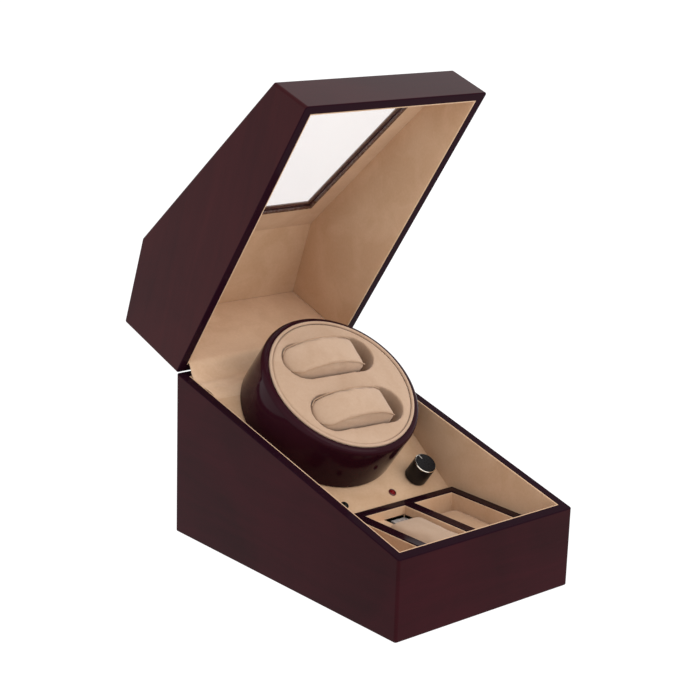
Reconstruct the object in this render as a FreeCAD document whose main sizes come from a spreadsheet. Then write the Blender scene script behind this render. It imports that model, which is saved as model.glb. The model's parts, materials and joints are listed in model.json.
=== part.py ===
import FreeCAD, Part
import math
import os

import Sketcher

# Watch winder box: a lacquered wooden case with a glazed, hinged lid, a motor-driven
# turntable for two watches on a sloping deck, two selector knobs, two lamps and a tray
# with three compartments.  Millimetres, +Z up, the front of the box towards -Y.
# Each sub-part is drawn in one of four layouts, and its Placement carries it from there:
#   box  x from the middle, y from the front face, z from the underside of the case
#   lid  the same, drawn with the lid shut, then opened about the hinge pins
#   deck x across, y up the slope, z square to the deck, from where the turntable's axis
#        meets the deck
#   drum the deck layout, turned with the turntable
# The origin of the finished part is the middle of its footprint, on the floor.

V = FreeCAD.Vector

SIZES = [
    ("box_width", 200), ("box_depth", 302), ("front_height", 71), ("rear_height", 151),
    ("lid_top", 240), ("lid_crest", 213), ("lid_nose", 116.5), ("rim_gap", 0.4),
    ("wall", 8), ("lining", 1.5), ("edge_round", 2.5), ("rim_round", 0.8),
    ("floor_thickness", 6), ("foot_radius", 6.5), ("foot_height", 3), ("foot_inset", 17),
    ("foot_round", 1.5), ("lid_angle", 70.9), ("hinge_x", 58), ("hinge_clear", 0.3),
    ("hinge_length", 40), ("leaf_thickness", 1.2), ("leaf_height", 20),
    ("knuckle_radius", 2.2), ("pin_radius", 1), ("running_gap", 0.05), ("part_gap", 0.2),
    ("deck_tilt", 37.5), ("deck_foot_y", 221.4), ("deck_foot_z", 111), ("deck_thickness", 6),
    ("deck_front", -105.5), ("deck_rear", 45), ("deck_hole", 37),
    ("drum_radius", 77), ("drum_top", 52.2), ("disc_top", 53.6), ("drum_bottom", 1),
    ("drum_floor", 8), ("drum_round", 5), ("insert_radius", 70.6), ("turn_offset", -3),
    ("pocket_length", 97), ("pocket_width", 39.6), ("pocket_spacing", 57.6),
    ("pocket_depth", 34.3), ("cushion_width", 31), ("cushion_drop", 1.4),
    ("cushion_reach", 44), ("cushion_rise", 24), ("cushion_sink", 10), ("cushion_back", 5),
    ("cushion_end", 31.5), ("plate_thickness", 3), ("spindle_radius", 4), ("gear_module", 1.25),
    ("motor_radius", 20), ("motor_height", 20), ("knob_radius", 10.6), ("knob_bottom", 1),
    ("knob_height", 21), ("knob_left", -67), ("knob_right", 62), ("knob_y", -81.8),
    ("shaft_radius", 3),
    ("lamp_x", 28), ("lamp_y", -91), ("lamp_radius", 2.5), ("board_drop", 12.4),
    ("board_thickness", 1.6), ("window_rear", 38.5), ("window_front", 214),
    ("window_half", 66.5), ("window_chamfer", 2.5), ("glass_thickness", 2.4),
    ("rebate", 6), ("trim_face", 3), ("trim_proud", 0.3), ("tray_top", 52),
    ("tray_thickness", 8), ("tray_rear", 137), ("tray_rail", 9.5), ("tray_divider", 10),
    ("tray_floor", 20.5), ("cup_wall", 1.3), ("socket_x", -60), ("socket_z", 30),
    ("socket_bore", 1.8), ("socket_radius", 4), ("socket_length", 14), ("apron_thickness", 1),
]

GEAR_TEETH = 36
PINION_TEETH = 12

doc = FreeCAD.newDocument("WatchWinderBox")
sheet = doc.addObject("Spreadsheet::Sheet", "Sizes")
for row, (alias, number) in enumerate(SIZES, 1):
    sheet.set("A%d" % row, alias)
    sheet.set("B%d" % row, str(number))
    sheet.setAlias("B%d" % row, alias)
doc.recompute()


class Size:
    """A length as its number now and as the expression that gives it from the sheet."""

    def __init__(self, value, text):
        self.value = value
        self.text = text

    def __float__(self):
        return self.value

    def __add__(self, other):
        other = size(other)
        return Size(self.value + other.value, "(%s + %s)" % (self.text, other.text))

    def __sub__(self, other):
        other = size(other)
        return Size(self.value - other.value, "(%s - %s)" % (self.text, other.text))

    def __mul__(self, other):
        other = size(other)
        return Size(self.value * other.value, "%s * %s" % (self.text, other.text))

    def __truediv__(self, other):
        other = size(other)
        return Size(self.value / other.value, "%s / %s" % (self.text, other.text))

    def __neg__(self):
        return Size(-self.value, "(-1 * %s)" % self.text)

    def __radd__(self, other):
        return size(other) + self

    def __rsub__(self, other):
        return size(other) - self

    def __rmul__(self, other):
        return size(other) * self


def size(thing):
    if isinstance(thing, Size):
        return thing
    return Size(float(thing), "(%r)" % float(thing))


class Driving:
    """The cells of the sheet, each by its alias."""

    def __getattr__(self, alias):
        return Size(float(sheet.get(alias)), "Sizes." + alias)


d = Driving()
half_width = d.box_width / 2
inner_half = half_width - d.wall
clear_half = inner_half - d.lining
rear_inner = d.box_depth - d.wall

# ---------------------------------------------------------------- drawing helpers


def bind(feature, name, length):
    """Sets a property and ties it to the sheet."""
    length = size(length)
    setattr(feature, name, length.value)
    feature.setExpression(name, length.text)


def new_body(name):
    return doc.addObject("PartDesign::Body", name)


def new_sketch(body, role, offset=0):
    """A sketch on one of the body's own planes, offset along the plane's normal."""
    sketch = body.newObject("Sketcher::SketchObject", body.Name + "_sketch")
    plane = [f for f in body.Origin.OriginFeatures if f.Role == role][0]
    sketch.AttachmentSupport = [(plane, "")]
    sketch.MapMode = "FlatFace"
    offset = size(offset)
    sketch.AttachmentOffset = FreeCAD.Placement(V(0, 0, offset.value), FreeCAD.Rotation())
    sketch.setExpression("AttachmentOffset.Base.z", offset.text)
    return sketch


def tie(sketch, kind, geometry, end, length):
    """Holds one point of the sketch at a distance from its origin."""
    length = size(length)
    rule = Sketcher.Constraint(kind, -1, 1, geometry, end, length.value)
    index = sketch.addConstraint(rule)
    sketch.setExpression("Constraints[%d]" % index, length.text)


def add_polygon(sketch, points):
    """A closed outline of straight lines through points given as sizes."""
    first = sketch.GeometryCount
    count = len(points)
    flat = [V(float(size(x)), float(size(y)), 0) for x, y in points]
    for i in range(count):
        sketch.addGeometry(Part.LineSegment(flat[i], flat[(i + 1) % count]), False)
    for i in range(count):
        following = first + (i + 1) % count
        sketch.addConstraint(Sketcher.Constraint("Coincident", first + i, 2, following, 1))
    for i, (x, y) in enumerate(points):
        tie(sketch, "DistanceX", first + i, 1, x)
        tie(sketch, "DistanceY", first + i, 1, y)


def add_circle(sketch, x, y, radius):
    x, y, radius = size(x), size(y), size(radius)
    circle = Part.Circle(V(x.value, y.value, 0), V(0, 0, 1), radius.value)
    index = sketch.addGeometry(circle, False)
    rule = sketch.addConstraint(Sketcher.Constraint("Radius", index, radius.value))
    sketch.setExpression("Constraints[%d]" % rule, radius.text)
    tie(sketch, "DistanceX", index, 3, x)
    tie(sketch, "DistanceY", index, 3, y)


def rectangle(x, y):
    return [(x[0], y[0]), (x[1], y[0]), (x[1], y[1]), (x[0], y[1])]


def pad(body, sketch, length, both_sides=False):
    feature = body.newObject("PartDesign::Pad", body.Name + "_pad")
    feature.Profile = sketch
    if both_sides:
        feature.SideType = "Symmetric"
    bind(feature, "Length", length)
    doc.recompute()
    return feature


def pocket(body, sketch, length=None, both_sides=False, reverse=False):
    """Cuts the sketch out of the body, and makes sure that it took something away."""
    before = body.Shape.Volume
    feature = body.newObject("PartDesign::Pocket", body.Name + "_pocket")
    feature.Profile = sketch
    if both_sides:
        feature.SideType = "Symmetric"
    feature.Reversed = reverse
    if length is None:
        feature.Type = "ThroughAll"
    else:
        bind(feature, "Length", length)
    doc.recompute()
    if not body.Shape.Volume < before - 1e-3:
        raise RuntimeError("%s cuts nothing" % feature.Name)
    return feature


def dress(body, kind, prop, amount, chosen):
    """A fillet or chamfer on the edges that chosen accepts."""
    tip = body.Tip
    names = ["Edge%d" % (i + 1) for i, e in enumerate(tip.Shape.Edges) if chosen(e)]
    if not names:
        raise RuntimeError("no edge to dress on %s" % body.Name)
    feature = body.newObject("PartDesign::" + kind, body.Name + "_" + kind.lower())
    feature.Base = (tip, names)
    bind(feature, prop, amount)
    doc.recompute()
    return feature


def fillet(body, radius, chosen):
    return dress(body, "Fillet", "Radius", radius, chosen)


def chamfer(body, amount, chosen):
    return dress(body, "Chamfer", "Size", amount, chosen)


def near(a, b):
    return abs(float(a) - float(b)) < 1e-4


def board(name, x, y, z, holes=()):
    """A rectangular piece between two x, two y and two z, with round holes down through it."""
    body = new_body(name)
    sketch = new_sketch(body, "XY_Plane", z[0])
    add_polygon(sketch, rectangle(x, y))
    for hole_x, hole_y, radius in holes:
        add_circle(sketch, hole_x, hole_y, radius)
    pad(body, sketch, size(z[1]) - z[0])
    return body


def turned(name, outline):
    """A piece of revolution about Z from its half outline of (radius, height) points."""
    body = new_body(name)
    sketch = new_sketch(body, "XZ_Plane")
    add_polygon(sketch, outline)
    feature = body.newObject("PartDesign::Revolution", name + "_turn")
    feature.Profile = sketch
    feature.ReferenceAxis = (sketch, ["V_Axis"])
    feature.Angle = 360
    doc.recompute()
    return body


def side_profile(name, points, half):
    """A piece of constant section, drawn from the side and as wide as twice half."""
    body = new_body(name)
    sketch = new_sketch(body, "YZ_Plane")
    add_polygon(sketch, points)
    pad(body, sketch, size(half) * 2, both_sides=True)
    return body


def meet(a, b):
    """Where two lines, each a point and a direction in the side view, cross."""
    (ax, ay), (au, av) = a
    (bx, by), (bu, bv) = b
    t = ((bx - ax) * bv - (by - ay) * bu) / (au * bv - av * bu)
    return V(ax + au * t, ay + av * t, 0)


def add_inset(sketch, outline, sides):
    """A closed outline drawn from another one.

    Each side is ("along", k, inset), parallel to side k of the outline and that far inside
    it (outside if negative), or ("across", k, reach), square to side k at that distance
    from its start.
    """
    first = sketch.GeometryCount
    corner = [(float(size(y)), float(size(z))) for y, z in outline]
    count = len(corner)
    add_polygon(sketch, outline)
    for i in range(count):
        sketch.toggleConstruction(first + i)
    lines = []
    for kind, k, amount in sides:
        start, end = corner[k], corner[(k + 1) % count]
        length = math.hypot(end[0] - start[0], end[1] - start[1])
        u, v = (end[0] - start[0]) / length, (end[1] - start[1]) / length
        amount = float(size(amount))
        if kind == "along":
            lines.append(((start[0] - v * amount, start[1] + u * amount), (u, v)))
        else:
            lines.append(((start[0] + u * amount, start[1] + v * amount), (-v, u)))
    points = [meet(lines[i - 1], lines[i]) for i in range(len(lines))]
    base = sketch.GeometryCount
    total = len(points)
    for i in range(total):
        sketch.addGeometry(Part.LineSegment(points[i], points[(i + 1) % total]), False)
    for i in range(total):
        following = base + (i + 1) % total
        sketch.addConstraint(Sketcher.Constraint("Coincident", base + i, 2, following, 1))
    for i, (kind, k, amount) in enumerate(sides):
        amount = size(amount)
        rule = "Parallel" if kind == "along" else "Perpendicular"
        sketch.addConstraint(Sketcher.Constraint(rule, base + i, first + k))
        apart = amount if amount.value > 0 else -amount
        index = sketch.addConstraint(
            Sketcher.Constraint("Distance", first + k, 1, base + i, apart.value))
        sketch.setExpression("Constraints[%d]" % index, apart.text)
    return points


def strip(name, outline, sides, half):
    """A board that follows one side of an outline in the side view."""
    body = new_body(name)
    sketch = new_sketch(body, "YZ_Plane")
    add_inset(sketch, outline, sides)
    pad(body, sketch, size(half) * 2, both_sides=True)
    return body


def cylinder(name, radius, bottom, height, x=0, y=0):
    piece = doc.addObject("Part::Cylinder", name)
    bind(piece, "Radius", radius)
    bind(piece, "Height", height)
    for axis, length in zip("xyz", (x, y, bottom)):
        length = size(length)
        piece.setExpression("Placement.Base." + axis, length.text)
    return piece


def lying_cylinder(name, radius, along, length, y, z, lengthwise="x"):
    """A cylinder along X or Y that starts at along; y and z are the other two places."""
    piece = doc.addObject("Part::Cylinder", name)
    bind(piece, "Radius", radius)
    bind(piece, "Height", length)
    turn = FreeCAD.Rotation(V(0, 1, 0), 90)
    places = (along, y, z)
    if lengthwise == "y":
        turn = FreeCAD.Rotation(V(1, 0, 0), -90)
        places = (y, along, z)
    piece.Placement = FreeCAD.Placement(V(0, 0, 0), turn)
    for axis, place in zip("xyz", places):
        piece.setExpression("Placement.Base." + axis, size(place).text)
    return piece


def block(name, x, y, z):
    piece = doc.addObject("Part::Box", name)
    for prop, axis, span in (("Length", "x", x), ("Width", "y", y), ("Height", "z", z)):
        bind(piece, prop, size(span[1]) - span[0])
        piece.setExpression("Placement.Base." + axis, size(span[0]).text)
    return piece


def boolean(kind, name, base, tool):
    piece = doc.addObject("Part::" + kind, name)
    piece.Base = base
    piece.Tool = tool
    return piece


def joined(name, pieces):
    piece = doc.addObject("Part::MultiFuse", name)
    piece.Shapes = pieces
    return piece


def grouped(name, pieces):
    """Separate solids that share one node."""
    piece = doc.addObject("Part::Compound", name)
    piece.Links = pieces
    return piece


def repeated(name, shape, places):
    """Copies of one fastener, each at a placement, in one node."""
    copies = []
    for place in places:
        copy = shape.copy()
        copy.Placement = place.multiply(copy.Placement)
        copies.append(copy)
    piece = doc.addObject("Part::Feature", name)
    piece.Shape = Part.makeCompound(copies)
    return piece


def screw_shape(head, head_height, shank, length):
    """A domed screw with its head's underside at z = 0 and its point downwards."""
    dome = Part.makeCone(head, head * 0.6, head_height)
    return dome.fuse(Part.makeCylinder(shank, length, V(0, 0, -length)))


SUBPARTS = []


def keep(piece, layout="box", x=0, y=0, z=0):
    """Lists a finished sub-part with its layout and its place in that layout."""
    piece.Label = piece.Name
    SUBPARTS.append((piece, layout, V(float(size(x)), float(size(y)), float(size(z)))))
    return piece


# ---------------------------------------------------------------- the case

BASE = [(0, 0), (d.box_depth, 0), (d.box_depth, d.rear_height), (0, d.front_height)]
LID = [(d.box_depth, d.rear_height + d.rim_gap), (d.box_depth, d.lid_top),
       (d.lid_crest, d.lid_top), (0, d.lid_nose), (0, d.front_height + d.rim_gap)]
BACK, TOP, SLOPE, FRONT, RIM = range(5)
OUTSIDE = 30


def rim_height(y):
    return float(d.front_height) + y * float((d.rear_height - d.front_height) / d.box_depth)


hinge_y = d.box_depth
hinge_z = d.rear_height + d.rim_gap / 2


def hinge_notches(name):
    """The round cutouts along the back edge that the hinge knuckles lie in."""
    length = d.hinge_length + d.hinge_clear * 2
    radius = d.knuckle_radius + d.hinge_clear
    return [lying_cylinder("%s_notch_%s" % (name, tag), radius, d.hinge_x * side - length / 2,
                           length, hinge_y, hinge_z)
            for side, tag in ((-1, "left"), (1, "right"))]


def make_case():
    case = new_body("case_body")
    sketch = new_sketch(case, "YZ_Plane")
    add_polygon(sketch, BASE)
    pad(case, sketch, d.box_width, both_sides=True)

    def upright(edge):
        a, b = edge.Vertexes[0].Point, edge.Vertexes[-1].Point
        return near(a.x, b.x) and near(a.y, b.y)

    fillet(case, d.edge_round, upright)

    def low(edge):
        return all(near(v.Z, 0) for v in edge.Vertexes)

    fillet(case, d.edge_round * 0.6, low)

    def on_rim(edge):
        return all(abs(v.Z - rim_height(v.Y)) < 0.2 for v in edge.Vertexes)

    fillet(case, d.rim_round, on_rim)
    hollow = new_sketch(case, "XY_Plane")
    add_polygon(hollow, rectangle((-inner_half, inner_half), (d.wall, rear_inner)))
    pocket(case, hollow, reverse=True)
    hole = lying_cylinder("case_socket_hole", d.socket_radius, rear_inner - OUTSIDE,
                          d.wall + 2 * OUTSIDE, d.socket_x, d.socket_z, "y")
    tools = joined("case_cutouts", [hole] + hinge_notches("case"))
    keep(boolean("Cut", "base_carcass", case, tools))


def make_floor():
    keep(board("bottom_panel", (d.part_gap - inner_half, inner_half - d.part_gap),
               (d.wall + d.part_gap, rear_inner - d.part_gap), (0, d.floor_thickness)))
    post, post_height, from_inner = 22, 13, 5
    gap = d.part_gap
    posts = []
    for side in (-1, 1):
        outer = (clear_half - gap) * side
        inner = (clear_half - gap - post) * side
        x = (inner, outer) if side > 0 else (outer, inner)
        for y0 in (d.wall + d.lining + gap, rear_inner - d.lining - gap - post):
            number = len(posts) + 1
            posts.append(block("corner_block_%d" % number, x, (y0, y0 + post),
                               (d.floor_thickness, d.floor_thickness + post_height)))
    keep(grouped("corner_blocks", posts))
    screw = screw_shape(3, 1.2, 1.4, 14)
    down = FreeCAD.Rotation(V(1, 0, 0), 180)
    inward = post - from_inner
    reach = float(clear_half - gap) - inward
    places = []
    for x in (-reach, reach):
        for y in (float(d.wall + d.lining + gap) + inward,
                  float(rear_inner - d.lining - gap) - inward):
            places.append(FreeCAD.Placement(V(x, y, 0), down))
    keep(repeated("bottom_screws", screw, places))


def make_feet():
    foot = turned("foot_master", [(0, 0), (d.foot_radius, 0),
                                  (d.foot_radius, -d.foot_height), (0, -d.foot_height)])

    def sole(edge):
        return near(edge.BoundBox.ZMax, -d.foot_height) and edge.Length > 1

    fillet(foot, d.foot_round, sole)
    places = []
    inset = float(d.foot_inset)
    for x in (float(half_width) - inset, inset - float(half_width)):
        for y in (inset, float(d.box_depth) - inset):
            places.append(FreeCAD.Placement(V(x, y, 0), FreeCAD.Rotation()))
    keep(repeated("feet", foot.Shape, places))


def make_case_linings():
    """Suede-covered boards inside the four walls, a little below the rim."""
    below = 0.2
    floor_top = d.floor_thickness
    for name, side in (("lining_left", -1), ("lining_right", 1)):
        body = new_body(name)
        start = clear_half if side > 0 else -inner_half
        sketch = new_sketch(body, "YZ_Plane", start)
        add_inset(sketch, BASE, [("along", 0, floor_top), ("along", 1, d.wall),
                                 ("along", 2, below), ("along", 3, d.wall)])
        pad(body, sketch, d.lining)
        keep(body)
    step = d.lining
    keep(strip("lining_front", BASE, [("along", 0, floor_top), ("along", 3, d.wall + step),
                                      ("along", 2, below), ("along", 3, d.wall)], clear_half))
    lining = strip("lining_rear_board", BASE,
                   [("along", 0, floor_top), ("along", 1, d.wall),
                    ("along", 2, below), ("along", 1, d.wall + step)], clear_half)
    hole = lying_cylinder("lining_socket_hole", d.socket_radius, rear_inner - OUTSIDE,
                          2 * OUTSIDE, d.socket_x, d.socket_z, "y")
    keep(boolean("Cut", "lining_rear", lining, hole))


def make_socket():
    """A round jack for the supply: a flanged barrel through the rear wall."""
    flange, lip = 7, 2
    barrel = lying_cylinder("socket_barrel", d.socket_radius, d.box_depth - d.socket_length,
                            d.socket_length, d.socket_x, d.socket_z, "y")
    ring = lying_cylinder("socket_flange", flange, d.box_depth, lip,
                          d.socket_x, d.socket_z, "y")
    bore = lying_cylinder("socket_bore", d.socket_bore, d.box_depth - d.socket_length + 2,
                          d.socket_length + 2 * lip, d.socket_x, d.socket_z, "y")
    keep(boolean("Cut", "power_socket", joined("socket_solid", [barrel, ring]), bore))


# ---------------------------------------------------------------- the deck and the drive


def make_deck():
    half = clear_half - d.part_gap
    holes = [(0, 0, d.deck_hole)]
    for knob_x in (d.knob_left, d.knob_right):
        holes.append((knob_x, d.knob_y, d.shaft_radius + 0.7))
    for side in (-1, 1):
        holes.append((d.lamp_x * side, d.lamp_y, d.lamp_radius + 0.1))
    keep(board("deck_panel", (-half, half), (d.deck_front, d.deck_rear),
               (-d.deck_thickness, 0), holes), "deck")


plate_top = -d.deck_thickness
plate_bottom = -d.deck_thickness - d.plate_thickness
bush_radius = d.spindle_radius + 3
BUSH_FLANGE = 1.5
BUSH_BOTTOM = 22
RING_HEIGHT = 1
gear_spacing = d.gear_module * ((GEAR_TEETH + PINION_TEETH) / 2)


def make_bearing():
    half, depth = 75, 40
    keep(board("bearing_plate", (-half, half), (-depth, depth), (plate_bottom, plate_top),
               [(0, 0, bush_radius)]), "deck")
    screw = screw_shape(3, 1.4, 1.5, 7.5)
    places = []
    up = FreeCAD.Rotation(V(1, 0, 0), 180)
    for x in (-half + 9, half - 9):
        for y in (-depth + 9, depth - 9):
            places.append(FreeCAD.Placement(V(x, y, float(plate_bottom)), up))
    keep(repeated("plate_screws", screw, places), "deck")
    bore = d.spindle_radius + d.running_gap * 0.8
    flange_top = plate_top + BUSH_FLANGE
    keep(turned("spindle_bush", [(bore, -BUSH_BOTTOM), (bush_radius, -BUSH_BOTTOM),
                                 (bush_radius, plate_top), (bush_radius + 3, plate_top),
                                 (bush_radius + 3, flange_top), (bore, flange_top)]), "deck")


def make_spindle():
    gap = d.part_gap
    groove_top = -BUSH_BOTTOM - gap
    groove_bottom = groove_top - RING_HEIGHT
    neck = d.spindle_radius - 0.7
    keep(turned("spindle", [(0, -44), (d.spindle_radius, -44),
                            (d.spindle_radius, groove_bottom), (neck, groove_bottom),
                            (neck, groove_top), (d.spindle_radius, groove_top),
                            (d.spindle_radius, -0.5), (0, -0.5)]), "drum")
    ring_outer = d.spindle_radius + 2.5
    keep(turned("retaining_ring", [(neck, groove_bottom), (ring_outer, groove_bottom),
                                   (ring_outer, groove_top), (neck, groove_top)]), "drum")


def make_hub():
    flange, boss = 24, 9
    hub_floor = -d.part_gap * 10
    boss_bottom = plate_top + BUSH_FLANGE + d.part_gap
    keep(turned("drum_hub", [(d.spindle_radius, boss_bottom), (boss, boss_bottom),
                             (boss, hub_floor), (flange, hub_floor),
                             (flange, d.drum_bottom), (0, d.drum_bottom), (0, -0.5),
                             (d.spindle_radius, -0.5)]), "drum")
    screw = screw_shape(2.6, 1.2, 1.4, 8)
    up = FreeCAD.Rotation(V(1, 0, 0), 180)
    places = []
    for i in range(3):
        turn = math.radians(90 + 120 * i)
        spot = V(18 * math.cos(turn), 18 * math.sin(turn), float(hub_floor))
        places.append(FreeCAD.Placement(spot, up))
    keep(repeated("hub_screws", screw, places), "drum")


def gear_shape(teeth, bottom, height, bore, first_tooth):
    """An involute spur gear about Z; first_tooth is the angle of one tooth's middle."""
    module = float(d.gear_module)
    pressure = math.radians(25)
    pitch = module * teeth / 2
    base = pitch * math.cos(pressure)
    tip = pitch + 0.9 * module
    root = pitch - 1.2 * module
    backlash = 0.2
    half_tooth = math.pi / (2 * teeth) - backlash / (2 * pitch)
    roll = math.tan(pressure) - pressure
    points = []
    for tooth in range(teeth):
        middle = first_tooth + 2 * math.pi * tooth / teeth
        flank = []
        for step in range(6):
            radius = max(base, root) + (tip - max(base, root)) * step / 5
            slope = math.acos(min(1.0, base / radius))
            flank.append((radius, half_tooth + roll - (math.tan(slope) - slope)))
        side = [(root, flank[0][1] + 0.02)] + flank
        outline = [(r, -a) for r, a in side] + [(r, a) for r, a in reversed(side)]
        for radius, angle in outline:
            points.append(V(radius * math.cos(middle + angle),
                            radius * math.sin(middle + angle), bottom))
    wire = Part.makePolygon(points + [points[0]])
    blank = Part.Face(wire).extrude(V(0, 0, height))
    return blank.cut(Part.makeCylinder(bore, height * 3, V(0, 0, bottom - height)))


def make_gears():
    bottom, height = -40, 6
    spindle = float(d.spindle_radius)
    gear = gear_shape(GEAR_TEETH, bottom, height, spindle, -math.radians(float(d.turn_offset)))
    boss = Part.makeCylinder(spindle + 4, 3, V(0, 0, bottom + height))
    boss = boss.cut(Part.makeCylinder(spindle, 3, V(0, 0, bottom + height)))
    wheel = doc.addObject("Part::Feature", "drum_gear")
    wheel.Shape = gear.fuse(boss).removeSplitter()
    keep(wheel, "drum")
    shaft_radius = 2.5
    teeth = gear_shape(PINION_TEETH, bottom, height, 1.5, math.pi + math.pi / PINION_TEETH)
    motor_bottom = float(plate_bottom - d.motor_height)
    shaft = Part.makeCylinder(shaft_radius, motor_bottom + 12 - bottom + 2, V(0, 0, bottom - 2))
    pinion = doc.addObject("Part::Feature", "motor_pinion")
    pinion.Shape = teeth.fuse(shaft).removeSplitter()
    keep(pinion, "deck", x=gear_spacing)
    bore = shaft_radius + d.running_gap
    keep(turned("gear_motor", [(bore, motor_bottom), (d.motor_radius, motor_bottom),
                               (d.motor_radius, plate_bottom), (0, plate_bottom),
                               (0, motor_bottom + 13), (bore, motor_bottom + 13)]),
         "deck", x=gear_spacing)
    screw = screw_shape(2.4, 1.2, 1.2, 9)
    places = [FreeCAD.Placement(V(float(gear_spacing), y, float(plate_top)), FreeCAD.Rotation())
              for y in (-14, 14)]
    keep(repeated("motor_screws", screw, places), "deck")


def make_controls():
    """Two rotary selectors under the deck, each with its shaft, knob and bright ring."""
    body_radius, body_height = 8.5, 10
    under = plate_top - d.part_gap
    bore = d.shaft_radius + d.running_gap
    bush = d.shaft_radius + 0.6
    knob_top = d.knob_bottom + d.knob_height
    cap = d.knob_radius - 0.7
    shoulder = knob_top - 1.3
    ring_top = knob_top - 0.5
    shaft_bottom, shaft_top = -14, 14
    for name, knob_x in (("left", d.knob_left), ("right", d.knob_right)):
        place = {"x": knob_x, "y": d.knob_y}
        keep(turned("selector_" + name,
                    [(0, under - body_height), (body_radius, under - body_height),
                     (body_radius, under), (bush, under), (bush, 0.8), (bore, 0.8),
                     (bore, shaft_bottom - 0.5), (0, shaft_bottom - 0.5)]), "deck", **place)
        keep(turned("selector_shaft_" + name,
                    [(0, shaft_bottom), (d.shaft_radius, shaft_bottom),
                     (d.shaft_radius, shaft_top), (0, shaft_top)]), "deck", **place)
        keep(turned("knob_" + name,
                    [(d.shaft_radius, d.knob_bottom), (d.knob_radius, d.knob_bottom),
                     (d.knob_radius, shoulder), (cap, shoulder), (cap, ring_top),
                     (cap - 0.5, knob_top), (0, knob_top), (0, shaft_top),
                     (d.shaft_radius, shaft_top)]), "deck", **place)
        keep(turned("knob_ring_" + name,
                    [(cap, shoulder), (d.knob_radius, shoulder),
                     (d.knob_radius, ring_top - 0.3), (cap, ring_top)]), "deck", **place)
    for side, name in ((-1, "lamp_left"), (1, "lamp_right")):
        body = turned(name, [(0, -d.board_drop), (d.lamp_radius, -d.board_drop),
                             (d.lamp_radius, 2), (0, 2)])

        def crown(edge):
            return near(edge.BoundBox.ZMin, 2) and edge.Length > 1

        fillet(body, d.lamp_radius * 0.7, crown)
        keep(body, "deck", x=d.lamp_x * side, y=d.lamp_y)


def make_circuit_board():
    half = 50
    top = -d.board_drop
    bottom = top - d.board_thickness
    slab = block("board_slab", (-half, half), (-103, -73), (bottom, top))
    chips = [slab]
    for i, (x, y, wide, deep, tall) in enumerate(((-32, -96, 14, 9, 2), (-6, -97, 12, 12, 3),
                                                  (14, -94, 8, 6, 2), (32, -98, 12, 8, 6))):
        chips.append(block("board_chip_%d" % i, (x, x + wide), (y, y + deep),
                           (bottom - tall, bottom)))
    for x in (-half + 5, half - 5):
        for y in (-100, -76):
            chips.append(cylinder("board_spacer_%d" % len(chips), 2.5, top,
                                  d.board_drop - d.deck_thickness, x, y))
    keep(joined("control_board", chips), "deck")


# ---------------------------------------------------------------- the turntable


def make_drum():
    rim_inner = d.insert_radius + d.part_gap
    floor_top = d.drum_bottom + d.drum_floor
    drum = turned("drum_cup", [(0, d.drum_bottom), (d.drum_radius, d.drum_bottom),
                               (d.drum_radius, d.drum_top), (rim_inner, d.drum_top),
                               (rim_inner, floor_top), (0, floor_top)])

    def ring(radius, height):
        def chosen(edge):
            box = edge.BoundBox
            return near(box.ZMin, height) and near(box.ZMax, height) and near(box.XMax, radius)
        return chosen

    fillet(drum, d.drum_round, ring(d.drum_radius, d.drum_top))
    fillet(drum, 1, ring(d.drum_radius, d.drum_bottom))
    fillet(drum, 0.6, ring(rim_inner, d.drum_top))
    keep(drum, "drum")


def slot_points(x0, x1, half):
    """The four corners where the straight sides of a round-ended slot meet its ends."""
    return [(x0 + half, -half), (x1 - half, -half), (x1 - half, half), (x0 + half, half)]


def add_slot(sketch, x0, x1, y, half):
    """A round-ended slot along X between x0 and x1, centred on y."""
    first = sketch.GeometryCount
    a, b, middle, r = float(x0 + half), float(x1 - half), float(y), float(half)
    sketch.addGeometry(Part.LineSegment(V(a, middle - r, 0), V(b, middle - r, 0)), False)
    right = Part.Circle(V(b, middle, 0), V(0, 0, 1), r)
    sketch.addGeometry(Part.ArcOfCircle(right, -math.pi / 2, math.pi / 2), False)
    sketch.addGeometry(Part.LineSegment(V(b, middle + r, 0), V(a, middle + r, 0)), False)
    left = Part.Circle(V(a, middle, 0), V(0, 0, 1), r)
    sketch.addGeometry(Part.ArcOfCircle(left, math.pi / 2, 3 * math.pi / 2), False)
    for one, end, other, start in ((0, 2, 1, 1), (1, 2, 2, 1), (2, 2, 3, 1), (3, 2, 0, 1)):
        rule = Sketcher.Constraint("Tangent", first + one, end, first + other, start)
        sketch.addConstraint(rule)
    rule = sketch.addConstraint(Sketcher.Constraint("Radius", first + 1, r))
    sketch.setExpression("Constraints[%d]" % rule, size(half).text)
    tie(sketch, "DistanceX", first + 1, 3, x1 - half)
    tie(sketch, "DistanceY", first + 1, 3, y)
    tie(sketch, "DistanceX", first + 3, 3, x0 + half)


insert_top = d.disc_top


def make_insert():
    """The padded disc with its two watch pockets."""
    floor_top = d.drum_bottom + d.drum_floor
    body = turned("drum_insert", [(0, floor_top), (d.insert_radius, floor_top),
                                  (d.insert_radius, insert_top), (0, insert_top)])
    sketch = new_sketch(body, "XY_Plane", insert_top)
    reach = d.pocket_length / 2
    for side in (-1, 1):
        add_slot(sketch, -reach, reach, d.pocket_spacing / 2 * side, d.pocket_width / 2)
    pocket(body, sketch, d.pocket_depth)

    def edge_of_disc(edge):
        box = edge.BoundBox
        return near(box.ZMin, insert_top) and near(box.XMax, d.insert_radius)

    fillet(body, 1.2, edge_of_disc)
    keep(body, "drum")


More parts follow.
